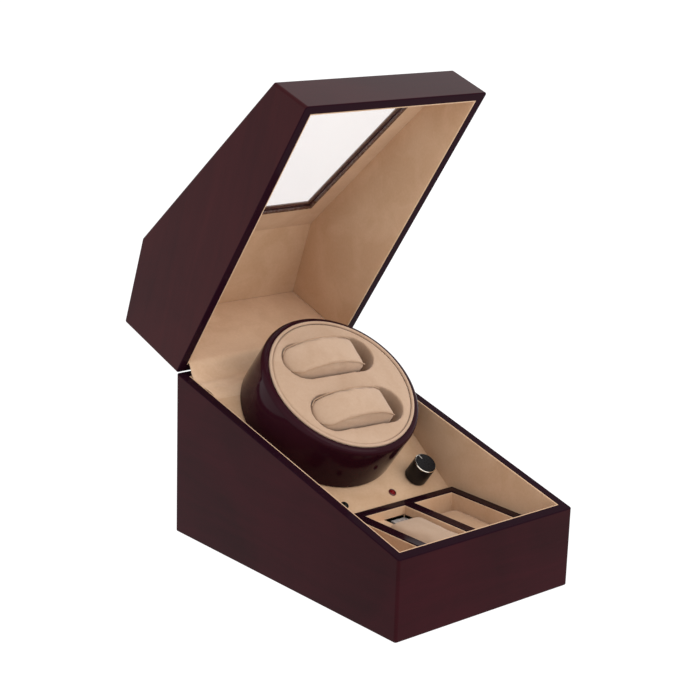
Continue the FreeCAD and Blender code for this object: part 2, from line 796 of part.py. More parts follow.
def make_cushions():
    """Arched watch cuffs: an oval end view, rounded in plan at one end, cut flat at the other."""
    reach, rise = float(d.cushion_reach), float(d.cushion_rise)
    back, end = float(d.cushion_back), float(d.cushion_end)
    width = float(d.cushion_width)
    middle = float(insert_top - d.cushion_sink)
    oval = Part.Ellipse(V(0, 0, 0), reach, rise).toShape()
    face = Part.Face(Part.Wire(oval))
    face.rotate(V(0, 0, 0), V(1, 0, 0), 90)
    face.translate(V(-back, width / 2, middle))
    log = face.extrude(V(0, -width, 0))
    tall = 4 * rise
    bottom = middle - 2 * rise
    nose_radius = float(d.pocket_width) / 2 - 0.6
    nose = float(d.pocket_width - d.pocket_length) / 2
    sideways = float(d.cushion_drop)
    band = Part.makeBox(end - nose + nose_radius, width, tall,
                        V(nose - nose_radius, -width / 2, bottom))
    round_end = Part.makeCylinder(nose_radius, tall, V(nose, sideways, bottom))
    straight = Part.makeBox(end - nose, 2 * nose_radius, tall,
                            V(nose, sideways - nose_radius, bottom))
    shape = log.common(band).common(straight.fuse(round_end).removeSplitter())
    for name, side in (("cushion_lower", -1), ("cushion_upper", 1)):
        piece = doc.addObject("Part::Feature", name)
        piece.Shape = shape.copy()
        keep(piece, "drum", y=d.pocket_spacing / 2 * side - d.cushion_drop)


# ---------------------------------------------------------------- the tray


tray_bottom = d.tray_top - d.tray_thickness
tray_half = clear_half - d.part_gap
cell_width = (2 * tray_half - 2 * d.tray_rail - 2 * d.tray_divider) / 3
cell_front = d.wall + d.lining + d.part_gap + d.tray_rail
cell_rear = d.tray_rear - d.tray_rail


def cell(number):
    """The left and right sides of compartment -1, 0 or 1."""
    middle = (cell_width + d.tray_divider) * number
    return middle - cell_width / 2, middle + cell_width / 2


def make_tray():
    front = d.wall + d.lining + d.part_gap
    body = new_body("tray_frame")
    sketch = new_sketch(body, "XY_Plane", tray_bottom)
    add_polygon(sketch, rectangle((-tray_half, tray_half), (front, d.tray_rear)))
    for number in (-1, 0, 1):
        add_polygon(sketch, rectangle(cell(number), (cell_front, cell_rear)))
    pad(body, sketch, d.tray_thickness)

    def outer_top(edge):
        return near(edge.BoundBox.ZMin, d.tray_top) and near(edge.BoundBox.ZMax, d.tray_top)

    fillet(body, d.rim_round, outer_top)
    keep(body)
    gap = d.part_gap / 2
    for name, number in (("left", -1), ("middle", 0), ("right", 1)):
        x0, x1 = cell(number)
        body = new_body("compartment_" + name)
        sketch = new_sketch(body, "XY_Plane", d.tray_floor)
        add_polygon(sketch, rectangle((x0 + gap, x1 - gap), (cell_front + gap, cell_rear - gap)))
        top = d.tray_top - d.rim_round
        pad(body, sketch, top - d.tray_floor)
        hollow = new_sketch(body, "XY_Plane", top)
        edge = gap + d.cup_wall
        add_polygon(hollow, rectangle((x0 + edge, x1 - edge),
                                      (cell_front + edge, cell_rear - edge)))
        pocket(body, hollow, top - d.tray_floor - d.cup_wall)
        keep(body)


def make_tray_pads():
    rest = d.tray_floor + d.cup_wall
    side_gap = d.cup_wall + 0.6
    for name, number, left, front, rear, top, soft in (
            ("tray_pad_middle", 0, 4.5, 2, 20.5, 29.6, 5),
            ("tray_pad_right", 1, 0, 2, 7, 19.2, 4)):
        x0, x1 = cell(number)
        body = board(name, (x0 + side_gap + left, x1 - side_gap),
                     (cell_front + side_gap + front, cell_rear - rear), (rest, rest + top))

        def crown(edge, top=rest + top):
            return near(edge.BoundBox.ZMin, top) and near(edge.BoundBox.ZMax, top)

        fillet(body, soft, crown)
        keep(body)


def make_bay():
    """A suede-covered block behind the middle pad, with a dark well and a bent bright plate."""
    x0, x1 = cell(0)
    edge = d.cup_wall + 0.3
    rest = d.tray_floor + d.cup_wall
    top = d.tray_top - 8
    back = cell_rear - edge
    front = back - 17.5
    solid = block("bay_solid", (x0 + edge, x1 - edge), (front, back), (rest, top))
    well_x = (x1 - 26, x1 - edge - 1)
    well_y = (back - 16.5, back - 1)
    well = block("bay_well", well_x, well_y, (top - 12, top + 1))
    keep(boolean("Cut", "bay_block", solid, well))
    plate_x = (well_x[0] + 7, well_x[1] - 0.4)
    leg = block("plate_leg", plate_x, (well_y[1] - 2.2, well_y[1] - 0.8), (top - 12, top - 2.4))
    shelf = block("plate_shelf", plate_x, (well_y[0] + 1, well_y[1] - 0.8),
                  (top - 3.6, top - 2.4))
    keep(joined("bay_plate", [leg, shelf]))


# ---------------------------------------------------------------- the lid


def opening(body, front, rear, half, near_side, far_side):
    """Cuts a rectangle through the sloping panel between two depths from its outside."""
    sketch = new_sketch(body, "YZ_Plane")
    add_inset(sketch, LID, [("along", SLOPE, near_side), ("across", SLOPE, rear),
                            ("along", SLOPE, far_side), ("across", SLOPE, front)])
    pocket(body, sketch, size(half) * 2, both_sides=True)


def slope_depth(point):
    """How far a point lies inside the outer face of the sloping panel."""
    y0, z0 = float(d.lid_crest), float(d.lid_top)
    y1, z1 = 0.0, float(d.lid_nose)
    length = math.hypot(y1 - y0, z1 - z0)
    return ((point.y - y0) * -(z1 - z0) + (point.z - z0) * (y1 - y0)) / length


def make_lid_shell():
    body = new_body("lid_body")
    sketch = new_sketch(body, "YZ_Plane")
    add_polygon(sketch, LID)
    pad(body, sketch, d.box_width, both_sides=True)
    lift = float(d.rim_gap)

    def on_rim(vertex):
        return abs(vertex.Z - rim_height(vertex.Y) - lift) < 0.3

    fillet(body, d.edge_round, lambda edge: not all(on_rim(v) for v in edge.Vertexes))
    fillet(body, d.rim_round, lambda edge: all(on_rim(v) for v in edge.Vertexes))
    hollow = new_sketch(body, "YZ_Plane")
    add_inset(hollow, LID, [("along", BACK, d.wall), ("along", TOP, d.wall),
                            ("along", SLOPE, d.wall), ("along", FRONT, d.wall),
                            ("along", RIM, -OUTSIDE)])
    pocket(body, hollow, inner_half * 2, both_sides=True)
    opening(body, d.window_front, d.window_rear, d.window_half, -OUTSIDE, OUTSIDE)
    rebate_depth = d.wall - d.glass_thickness
    opening(body, d.window_front + d.rebate, d.window_rear - d.rebate,
            d.window_half + d.rebate, rebate_depth, OUTSIDE)

    def window_edge(edge):
        ends = edge.Vertexes
        inside = all(abs(v.X) < float(d.window_half) + 1 for v in ends)
        return inside and all(abs(slope_depth(v.Point)) < 1e-3 for v in ends)

    chamfer(body, d.window_chamfer, window_edge)
    notches = joined("lid_cutouts", hinge_notches("lid"))
    keep(boolean("Cut", "lid_shell", body, notches), "lid")


def make_glazing():
    gap = d.part_gap
    front, rear = d.window_front + d.rebate - gap, d.window_rear - d.rebate + gap
    top = d.wall - d.glass_thickness
    keep(strip("window_glass", LID, [("along", SLOPE, top), ("across", SLOPE, rear),
                                     ("along", SLOPE, d.wall), ("across", SLOPE, front)],
               d.window_half + d.rebate - gap), "lid")
    face = d.trim_face
    body = strip("window_trim", LID,
                 [("along", SLOPE, d.wall), ("across", SLOPE, d.window_rear - face),
                  ("along", SLOPE, d.wall + d.lining + d.trim_proud),
                  ("across", SLOPE, d.window_front + face)], d.window_half + face)
    opening(body, d.window_front, d.window_rear, d.window_half, d.wall - 2, OUTSIDE)
    keep(body, "lid")


def make_lid_linings():
    """Suede-covered boards inside the lid, a little behind its rim."""
    wall, inner = d.wall, d.wall + d.lining
    below = 0.2
    for name, side in (("lid_lining_left", -1), ("lid_lining_right", 1)):
        body = new_body(name)
        start = clear_half if side > 0 else -inner_half
        sketch = new_sketch(body, "YZ_Plane", start)
        add_inset(sketch, LID, [("along", BACK, wall), ("along", TOP, wall),
                                ("along", SLOPE, wall), ("along", FRONT, wall),
                                ("along", RIM, below)])
        pad(body, sketch, d.lining)
        keep(body, "lid")
    half = clear_half
    keep(strip("lid_lining_back", LID, [("along", BACK, wall), ("along", TOP, wall),
                                        ("along", BACK, inner), ("along", RIM, below)],
               half), "lid")
    keep(strip("lid_lining_top", LID, [("along", TOP, wall), ("along", SLOPE, wall),
                                       ("along", TOP, inner), ("along", BACK, inner)],
               half), "lid")
    slope = strip("lid_lining_slope", LID,
                  [("along", SLOPE, wall), ("along", FRONT, wall),
                   ("along", SLOPE, inner), ("along", TOP, inner)], half)
    face = d.trim_face + d.part_gap
    opening(slope, d.window_front + face, d.window_rear - face, d.window_half + face,
            d.wall - 2, OUTSIDE)
    keep(slope, "lid")
    keep(strip("lid_lining_front", LID, [("along", FRONT, wall), ("along", RIM, below),
                                         ("along", FRONT, inner), ("along", SLOPE, inner)],
               half), "lid")


# ---------------------------------------------------------------- the hinges


def make_hinges():
    """Two butt hinges on the back: outer knuckles on the case, the middle one on the lid."""
    third = d.hinge_length / 3
    clear = d.hinge_clear
    case_leaves, lid_leaves, pins = [], [], []
    for side, name in ((-1, "left"), (1, "right")):
        x0 = d.hinge_x * side - d.hinge_length / 2
        x1 = x0 + d.hinge_length
        leaf_y = (d.box_depth, d.box_depth + d.leaf_thickness)
        notch = d.knuckle_radius + clear
        solids = [block("case_leaf_" + name, (x0, x1), leaf_y,
                        (hinge_z - d.leaf_height, hinge_z - notch))]
        for tag, start in (("a", x0), ("b", x0 + third * 2)):
            solids.append(lying_cylinder("case_knuckle_%s_%s" % (name, tag), d.knuckle_radius,
                                         start, third, hinge_y, hinge_z))
            solids.append(block("case_strap_%s_%s" % (name, tag), (start, start + third),
                                leaf_y, (hinge_z - notch, hinge_z)))
        bore = lying_cylinder("case_pin_hole_" + name, d.pin_radius, x0 - 1,
                              d.hinge_length + 2, hinge_y, hinge_z)
        case_leaves.append(boolean("Cut", "case_hinge_" + name,
                                   joined("case_hinge_solid_" + name, solids), bore))
        middle = (x0 + third + clear / 2, x0 + third * 2 - clear / 2)
        solids = [block("lid_leaf_" + name, (x0, x1), leaf_y,
                        (hinge_z + notch, hinge_z + d.leaf_height)),
                  block("lid_strap_" + name, middle, leaf_y, (hinge_z, hinge_z + notch)),
                  lying_cylinder("lid_knuckle_" + name, d.knuckle_radius, middle[0],
                                 middle[1] - middle[0], hinge_y, hinge_z)]
        bore = lying_cylinder("lid_pin_hole_" + name, d.pin_radius + d.running_gap, x0 - 1,
                              d.hinge_length + 2, hinge_y, hinge_z)
        lid_leaves.append(boolean("Cut", "lid_hinge_" + name,
                                  joined("lid_hinge_solid_" + name, solids), bore))
        pins.append(lying_cylinder("hinge_pin_" + name, d.pin_radius, x0, d.hinge_length,
                                   hinge_y, hinge_z))
    keep(grouped("hinge_case_leaves", case_leaves))
    keep(grouped("hinge_lid_leaves", lid_leaves), "lid")
    keep(grouped("hinge_pins", pins))
    screw = screw_shape(2.4, 0.8, 1.2, 7)
    backwards = FreeCAD.Rotation(V(1, 0, 0), -90)
    for node, layout, z in (("hinge_case_screws", "box", -13), ("hinge_lid_screws", "lid", 13)):
        places = []
        for side in (-1, 1):
            for offset in (-14, 14):
                x = float(d.hinge_x) * side + offset
                y = float(d.box_depth + d.leaf_thickness)
                places.append(FreeCAD.Placement(V(x, y, float(hinge_z) + z), backwards))
        keep(repeated(node, screw, places), layout)


def make_apron():
    """The loose suede that covers the gap between the deck, the rear wall and the open lid."""
    half = clear_half - 0.6
    thick = float(d.apron_thickness)
    slope = math.radians(float(d.deck_tilt))
    start_y = float(d.deck_foot_y) + float(d.deck_rear) * math.cos(slope)
    start_z = float(d.deck_foot_z) + float(d.deck_rear) * math.sin(slope)
    end_y, end_z = float(d.box_depth), float(d.rear_height)
    route = [(start_y + 0.4, start_z + 0.4), (start_y + 9, start_z + 2.8),
             (start_y + 19, start_z + 4.2), (end_y - 17, end_z - 7.4),
             (end_y - 11.5, end_z - 4.2), (end_y - 8.8, end_z + 0.5), (end_y - 7.4, end_z + 5),
             (end_y - 6.4, end_z + 8.6), (end_y - 4, end_z + 10), (end_y + 1, end_z + 11.2)]
    points = []
    for index, (y, z) in enumerate(route):
        before = route[max(index - 1, 0)]
        after = route[min(index + 1, len(route) - 1)]
        length = math.hypot(after[0] - before[0], after[1] - before[1])
        across = (-(after[1] - before[1]) / length, (after[0] - before[0]) / length)
        points.append((y, z, across))
    upper = [V(-float(half), y + a[0] * thick, z + a[1] * thick) for y, z, a in points]
    lower = [V(-float(half), y, z) for y, z, a in reversed(points)]
    wire = Part.makePolygon(upper + lower + [upper[0]])
    piece = doc.addObject("Part::Feature", "hinge_apron")
    piece.Shape = Part.Face(wire).extrude(V(2 * float(half), 0, 0))
    keep(piece)


# ---------------------------------------------------------------- building it all

for make in (make_case, make_floor, make_feet, make_case_linings, make_socket, make_deck,
             make_bearing, make_spindle, make_hub, make_gears, make_controls,
             make_circuit_board, make_drum, make_insert, make_cushions, make_tray,
             make_tray_pads, make_bay, make_lid_shell, make_glazing, make_lid_linings,
             make_hinges, make_apron):
    make()
doc.recompute()

deck_layout = FreeCAD.Placement(V(0, float(d.deck_foot_y), float(d.deck_foot_z)),
                                FreeCAD.Rotation(V(1, 0, 0), float(d.deck_tilt)))
drum_layout = deck_layout.multiply(
    FreeCAD.Placement(V(0, 0, 0), FreeCAD.Rotation(V(0, 0, 1), float(d.turn_offset))))
lid_layout = FreeCAD.Placement(V(0, 0, 0), FreeCAD.Rotation(V(1, 0, 0), -float(d.lid_angle)),
                               V(0, float(hinge_y), float(hinge_z)))
LAYOUTS = {"box": FreeCAD.Placement(), "deck": deck_layout, "drum": drum_layout,
           "lid": lid_layout}

for piece, layout, place in SUBPARTS:
    spot = FreeCAD.Placement(place, FreeCAD.Rotation())
    piece.Placement = LAYOUTS[layout].multiply(spot)
doc.recompute()

whole = FreeCAD.BoundBox()
for piece, layout, place in SUBPARTS:
    whole.add(piece.Shape.BoundBox)
shift = V(0, -(whole.YMin + whole.YMax) / 2, -whole.ZMin)
for piece, layout, place in SUBPARTS:
    piece.Placement = FreeCAD.Placement(shift, FreeCAD.Rotation()).multiply(piece.Placement)
doc.recompute()

for thing in doc.Objects:
    if "Invalid" in thing.State or "Error" in thing.State:
        raise RuntimeError("%s failed: %s" % (thing.Name, thing.State))
os.makedirs("parts", exist_ok=True)
for piece, layout, place in SUBPARTS:
    if piece.Shape.isNull() or not piece.Shape.isValid() or not piece.Shape.Solids:
        raise RuntimeError("%s has no sound solid" % piece.Name)
    piece.Shape.exportStep(os.path.join("parts", piece.Label + ".step"))
print("%d sub-parts, origin %.4f behind the front face" % (len(SUBPARTS), -shift.y))
print("hinge y %.4f z %.4f" % (float(hinge_y) + shift.y, float(hinge_z) + shift.z))
print("deck foot y %.4f z %.4f" % (float(d.deck_foot_y) + shift.y,
                                   float(d.deck_foot_z) + shift.z))
print("extent %.3f x %.3f x %.3f" % (whole.XLength, whole.YLength, whole.ZLength))
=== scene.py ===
import json
import math

import bmesh
import bpy
from mathutils import Matrix, Vector, noise


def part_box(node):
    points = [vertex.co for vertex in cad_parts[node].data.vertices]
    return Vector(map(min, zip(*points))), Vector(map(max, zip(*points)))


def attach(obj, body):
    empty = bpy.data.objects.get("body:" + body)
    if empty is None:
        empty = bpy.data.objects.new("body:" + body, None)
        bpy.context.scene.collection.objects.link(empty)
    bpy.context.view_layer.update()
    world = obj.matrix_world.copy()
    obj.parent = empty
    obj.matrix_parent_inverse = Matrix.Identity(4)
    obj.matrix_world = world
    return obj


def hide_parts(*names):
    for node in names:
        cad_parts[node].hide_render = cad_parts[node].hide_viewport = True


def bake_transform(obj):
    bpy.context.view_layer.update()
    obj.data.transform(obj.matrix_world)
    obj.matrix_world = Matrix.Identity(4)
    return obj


# Watch winder box with its lid open: burgundy lacquered wood outside, beige suede inside.
# Pieces on the deck and the turntable are drawn in millimetres, x across, y up the slope and
# z square to the deck, and then carried into the box's own frame. Every other length without
# MM beside it is in metres.

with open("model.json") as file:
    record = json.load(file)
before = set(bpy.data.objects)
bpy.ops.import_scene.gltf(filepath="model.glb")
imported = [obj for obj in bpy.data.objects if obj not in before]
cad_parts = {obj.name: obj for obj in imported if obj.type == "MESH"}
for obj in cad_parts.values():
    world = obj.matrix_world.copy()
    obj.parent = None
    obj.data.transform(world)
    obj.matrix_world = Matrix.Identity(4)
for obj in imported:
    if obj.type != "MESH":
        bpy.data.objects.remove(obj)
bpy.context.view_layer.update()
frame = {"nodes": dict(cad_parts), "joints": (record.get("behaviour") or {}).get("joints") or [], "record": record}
NODES = frame["nodes"]
JOINTS = {j["name"]: j for j in frame["joints"]}
BODY_OF = {n: b for b, ns in frame["record"]["behaviour"]["bodies"].items() for n in ns}
MM = 0.001


def upon(joint):
    """The layout whose z axis is a joint's axis and whose x axis runs across the box."""
    z = Vector(JOINTS[joint]["axis"]).normalized()
    x = Vector((1, 0, 0))
    y = z.cross(x).normalized()
    turn = Matrix((x, y, z)).transposed().to_4x4()
    return Matrix.Translation(Vector(JOINTS[joint]["pos_m"])) @ turn @ Matrix.Scale(MM, 4)


TURNTABLE_AT = math.radians(-3)
DECK_TILT = math.radians(37.5)
LID_OPEN = math.radians(70.9)
CASE_DEPTH, FRONT_HEIGHT, REAR_HEIGHT = 302, 71, 151
RIM_SLOPE = math.atan2(REAR_HEIGHT - FRONT_HEIGHT, CASE_DEPTH)
DECK = upon("turntable_spin")
DRUM = DECK @ Matrix.Rotation(TURNTABLE_AT, 4, "Z")
DRUM_INVERSE = DRUM.inverted()
CASE_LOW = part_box("base_carcass")[0]


def from_front(x, y, z):
    """A place in millimetres from the middle of the case's front face, at its underside."""
    return Vector((x * MM, CASE_LOW.y + y * MM, CASE_LOW.z + z * MM))


# ---------------------------------------------------------------- camera and studio


CAMERA_AT = (-968, -929.4, 592.6)
CAMERA_LOOKS = (0.6333, 0.7265, -0.2668)
CAMERA_ROLL = math.radians(1.91)


def make_camera():
    """A long lens from the front left and above, turned slightly about its own axis."""
    forward = Vector(CAMERA_LOOKS).normalized()
    right = forward.cross(Vector((0, 0, 1))).normalized()
    up = right.cross(forward)
    across = right * math.cos(CAMERA_ROLL) + up * math.sin(CAMERA_ROLL)
    above = up * math.cos(CAMERA_ROLL) - right * math.sin(CAMERA_ROLL)
    turn = Matrix((across, above, -forward)).transposed().to_4x4()
    camera = bpy.data.objects.new("camera", bpy.data.cameras.new("camera"))
    bpy.context.scene.collection.objects.link(camera)
    camera.matrix_world = Matrix.Translation(from_front(*CAMERA_AT)) @ turn
    camera.data.sensor_width = 36
    camera.data.lens = 89.64
    camera.data.clip_start = 0.05
    camera.data.clip_end = 100
    bpy.context.scene.camera = camera


def add(tree, kind, inputs=None, **settings):
    """A node with its settings, and with numbers or links in its inputs."""
    made = tree.nodes.new(kind)
    for key, value in settings.items():
        setattr(made, key, value)
    for key, value in (inputs or {}).items():
        if isinstance(value, bpy.types.NodeSocket):
            tree.links.new(value, made.inputs[key])
        else:
            made.inputs[key].default_value = value
    return made


def make_studio():
    """White all round, two wide suns and a floor that glows, so nothing casts a shadow on it."""
    scene = bpy.context.scene
    scene.view_settings.view_transform = "Standard"
    scene.view_settings.look = "None"
    world = bpy.data.worlds.new("studio")
    scene.world = world
    world.use_nodes = True
    tree = world.node_tree
    tree.nodes.clear()
    ray = add(tree, "ShaderNodeLightPath")
    around = add(tree, "ShaderNodeBackground", {"Color": (0.99, 0.99, 1, 1), "Strength": 1.0})
    seen = add(tree, "ShaderNodeBackground", {"Color": (1, 1, 1, 1), "Strength": 1})
    both = add(tree, "ShaderNodeMixShader", {0: ray.outputs["Is Camera Ray"],
                                             1: around.outputs[0], 2: seen.outputs[0]})
    add(tree, "ShaderNodeOutputWorld", {"Surface": both.outputs[0]})

    def sun(name, direction, energy, angle, colour=(1, 1, 1)):
        light = bpy.data.objects.new(name, bpy.data.lights.new(name, "SUN"))
        light.data.energy = energy
        light.data.angle = math.radians(angle)
        light.data.color = colour
        light.rotation_euler = Vector(direction).to_track_quat("-Z", "Y").to_euler()
        scene.collection.objects.link(light)

    sun("key", (-0.22, 0.78, -0.62), 1.0, 45, (1, 0.985, 0.96))
    sun("fill", (0.75, 0.45, -0.35), 0.25, 60)

    bm = bmesh.new()
    bmesh.ops.create_grid(bm, x_segments=1, y_segments=1, size=30)
    floor = bpy.data.objects.new("floor", bpy.data.meshes.new("floor"))
    bm.to_mesh(floor.data)
    bm.free()
    scene.collection.objects.link(floor)
    table = bpy.data.materials.new("light table")
    table.use_nodes = True
    shader = table.node_tree.nodes["Principled BSDF"]
    shader.inputs["Base Color"].default_value = (0, 0, 0, 1)
    shader.inputs["Specular IOR Level"].default_value = 0
    shader.inputs["Emission Color"].default_value = (1, 1, 1, 1)
    shader.inputs["Emission Strength"].default_value = 1.12
    floor.data.materials.append(table)


# ---------------------------------------------------------------- shared effects


def new_group(name, inputs, outputs):
    """A shared effect's node group, with its input and output sockets."""
    group = bpy.data.node_groups.new(name, "ShaderNodeTree")
    for title, kind, value in inputs:
        socket = group.interface.new_socket(title, in_out="INPUT", socket_type=kind)
        if value is not None:
            socket.default_value = value
    for title, kind in outputs:
        group.interface.new_socket(title, in_out="OUTPUT", socket_type=kind)
    source = group.nodes.new("NodeGroupInput")
    target = group.nodes.new("NodeGroupOutput")
    return group, source.outputs, target.inputs


COLOUR, NUMBER, ARROW = "NodeSocketColor", "NodeSocketFloat", "NodeSocketVector"


def math_node(tree, operation, a, b=0.0):
    """One step of arithmetic on numbers or links."""
    return add(tree, "ShaderNodeMath", {0: a, 1: b}, operation=operation).outputs[0]


def noise_node(tree, vector, scale, detail=3.0, roughness=0.5, distortion=0.0):
    """Procedural noise from 0 to 1 at a place."""
    made = add(tree, "ShaderNodeTexNoise",
               {"Vector": vector, "Scale": scale, "Detail": detail,
                "Roughness": roughness, "Distortion": distortion})
    return made.outputs[0]


def spread(tree, value, low, high, to_low=0.0, to_high=1.0):
    """Stretches the part of a value between low and high over a new range."""
    made = add(tree, "ShaderNodeMapRange",
               {"Value": value, "From Min": low, "From Max": high,
                "To Min": to_low, "To Max": to_high})
    return made.outputs[0]


def blend_colours(tree, share, first, second):
    """The first colour where share is 0, and the second where it is 1."""
    made = add(tree, "ShaderNodeMix", data_type="RGBA")
    for index, value in ((0, share), (6, first), (7, second)):
        if isinstance(value, bpy.types.NodeSocket):
            tree.links.new(value, made.inputs[index])
        else:
            made.inputs[index].default_value = value
    return made.outputs[2]


def make_nap():
    """Suede: brushed patches of nap, short fibres and the odd faint crease."""
    group, given, out = new_group(
        "suede nap",
        [("Vector", ARROW, None), ("Colour", COLOUR, None), ("Shade", COLOUR, None),
         ("Brushing", NUMBER, 1.0)],
        [("Colour", COLOUR), ("Height", NUMBER), ("Roughness", NUMBER)])
    brushed = noise_node(group, given["Vector"], 26, 4, 0.55, 0.6)
    tufts = noise_node(group, given["Vector"], 420, 3, 0.6)
    fibres = noise_node(group, given["Vector"], 1900, 2, 0.6)
    patches = spread(group, brushed, 0.38, 0.62, 0.0, 0.5)
    patches = math_node(group, "MULTIPLY", patches, given["Brushing"])
    speckle = spread(group, tufts, 0.3, 0.7, 0.0, 0.28)
    share = math_node(group, "ADD", patches, speckle)
    group.links.new(blend_colours(group, share, given["Colour"], given["Shade"]), out["Colour"])
    pile = math_node(group, "MULTIPLY", fibres, 0.55)
    pile = math_node(group, "ADD", pile, math_node(group, "MULTIPLY", tufts, 0.5))
    soft = math_node(group, "MULTIPLY", brushed, 0.35)
    group.links.new(math_node(group, "ADD", pile, soft), out["Height"])
    group.links.new(spread(group, tufts, 0.3, 0.7, 0.86, 0.98), out["Roughness"])
    return group


def make_figure():
    """Dark veneer under lacquer: long streaks of grain, darker pores and broad clouds.

    Rim At is a place whose z is its distance from the plane where case and lid meet. The boards' cut edges there
    get a darker colour, painted shade standing in for the dark reflections on them, and shine less.
    """
    group, given, out = new_group(
        "veneer figure",
        [("Vector", ARROW, None), ("Rim At", ARROW, None), ("Colour", COLOUR, None),
         ("Dark", COLOUR, None), ("Rim", COLOUR, None), ("Gloss", NUMBER, 0.065)],
        [("Colour", COLOUR), ("Height", NUMBER), ("Roughness", NUMBER), ("Gloss", NUMBER)])
    along = add(group, "ShaderNodeMapping",
                {"Vector": given["Vector"], "Scale": (7, 7, 90)}).outputs[0]
    streaks = noise_node(group, along, 1.0, 5, 0.6, 0.5)
    clouds = noise_node(group, given["Vector"], 7, 3, 0.55, 0.8)
    pores_at = add(group, "ShaderNodeMapping",
                   {"Vector": given["Vector"], "Scale": (60, 60, 1400)}).outputs[0]
    pores = noise_node(group, pores_at, 1.0, 2, 0.5)
    share = spread(group, streaks, 0.36, 0.66, 0.0, 0.22)
    share = math_node(group, "ADD", share, spread(group, clouds, 0.36, 0.64, 0.0, 0.42))
    share = math_node(group, "ADD", share, spread(group, pores, 0.6, 0.75, 0.0, 0.2))
    veneer = blend_colours(group, share, given["Colour"], given["Dark"])
    height = add(group, "ShaderNodeSeparateXYZ", {"Vector": given["Rim At"]}).outputs["Z"]
    from_rim = math_node(group, "ABSOLUTE", height)
    # Painted shade: the rim's darker colour stands in for dark reflections on the boards' cut edges.
    rim_shade_share = spread(group, from_rim, 0.4 * MM, 1.1 * MM, 1.0, 0.0)
    group.links.new(blend_colours(group, rim_shade_share, veneer, given["Rim"]), out["Colour"])
    duller = math_node(group, "MULTIPLY", rim_shade_share, -0.75)
    gloss = math_node(group, "MULTIPLY", math_node(group, "ADD", duller, 1.0), given["Gloss"])
    group.links.new(gloss, out["Gloss"])
    ripple = noise_node(group, given["Vector"], 55, 2, 0.5)
    group.links.new(ripple, out["Height"])
    group.links.new(spread(group, clouds, 0.3, 0.7, 0.07, 0.13), out["Roughness"])
    return group


def make_handled():
    """Moulded or ground surfaces: small changes of tone, of shine and of level."""
    group, given, out = new_group(
        "handled surface",
        [("Vector", ARROW, None), ("Colour", COLOUR, None), ("Tone", COLOUR, None),
         ("Size", NUMBER, 120.0), ("Smooth", NUMBER, 0.2), ("Rough", NUMBER, 0.35)],
        [("Colour", COLOUR), ("Height", NUMBER), ("Roughness", NUMBER)])
    clouds = noise_node(group, given["Vector"], 40, 3, 0.6, 0.3)
    grain = noise_node(group, given["Vector"], given["Size"], 3, 0.6)
    share = spread(group, clouds, 0.35, 0.65)
    group.links.new(blend_colours(group, share, given["Colour"], given["Tone"]), out["Colour"])
    group.links.new(grain, out["Height"])
    shine = add(group, "ShaderNodeMapRange", {"Value": grain, "From Min": 0.3, "From Max": 0.7,
                                              "To Min": given["Smooth"],
                                              "To Max": given["Rough"]})
    group.links.new(shine.outputs[0], out["Roughness"])
    return group


NAP, FIGURE, HANDLED = make_nap(), make_figure(), make_handled()
MATERIALS = {}


def material(name, group, values, bump, depth, sockets=None, turn=None, scale=(1, 1, 1),
             rim=None):
    """A material whose colour, roughness and relief come from one shared effect.

    turn and scale lay the effect's pattern, and rim is an angle and an offset from rim_level.
    """
    made = bpy.data.materials.new(name)
    made.use_nodes = True
    tree = made.node_tree
    shader = tree.nodes["Principled BSDF"]
    origin = add(tree, "ShaderNodeTexCoord").outputs["Object"]
    place = origin
    if turn is not None or scale != (1, 1, 1):
        place = add(tree, "ShaderNodeMapping",
                    {"Vector": origin, "Rotation": turn or (0, 0, 0), "Scale": scale}).outputs[0]
    effect = tree.nodes.new("ShaderNodeGroup")
    effect.node_tree = group
    tree.links.new(place, effect.inputs["Vector"])
    if rim is not None:
        level = add(tree, "ShaderNodeMapping",
                    {"Vector": origin, "Rotation": (rim[0], 0, 0), "Location": (0, 0, rim[1])})
        tree.links.new(level.outputs[0], effect.inputs["Rim At"])
    for key, value in values.items():
        effect.inputs[key].default_value = value
    tree.links.new(effect.outputs["Colour"], shader.inputs["Base Color"])
    tree.links.new(effect.outputs["Roughness"], shader.inputs["Roughness"])
    if "Gloss" in effect.outputs:
        tree.links.new(effect.outputs["Gloss"], shader.inputs["Specular IOR Level"])
    relief = add(tree, "ShaderNodeBump", {"Height": effect.outputs["Height"],
                                          "Strength": bump, "Distance": depth})
    tree.links.new(relief.outputs[0], shader.inputs["Normal"])
    for key, value in (sockets or {}).items():
        shader.inputs[key].default_value = value
    MATERIALS[name] = made
    return made


def rim_level(angle, y, z):
    """The angle and offset that level a rim, given one of its points as depth and height."""
    spot = from_front(0, y, z)
    return angle, -(spot.y * math.sin(angle) + spot.z * math.cos(angle))


def rgb(red, green, blue):
    """A colour as it is seen, from 0 to 255, as the shader's own numbers."""
    seen = [c / 255 for c in (red, green, blue)]
    plain = [c / 12.92 if c <= 0.04045 else ((c + 0.055) / 1.055) ** 2.4 for c in seen]
    return (*plain, 1)


# A rim a metre away, for pieces that have no painted rim shade.
NO_RIM = (0, 1)


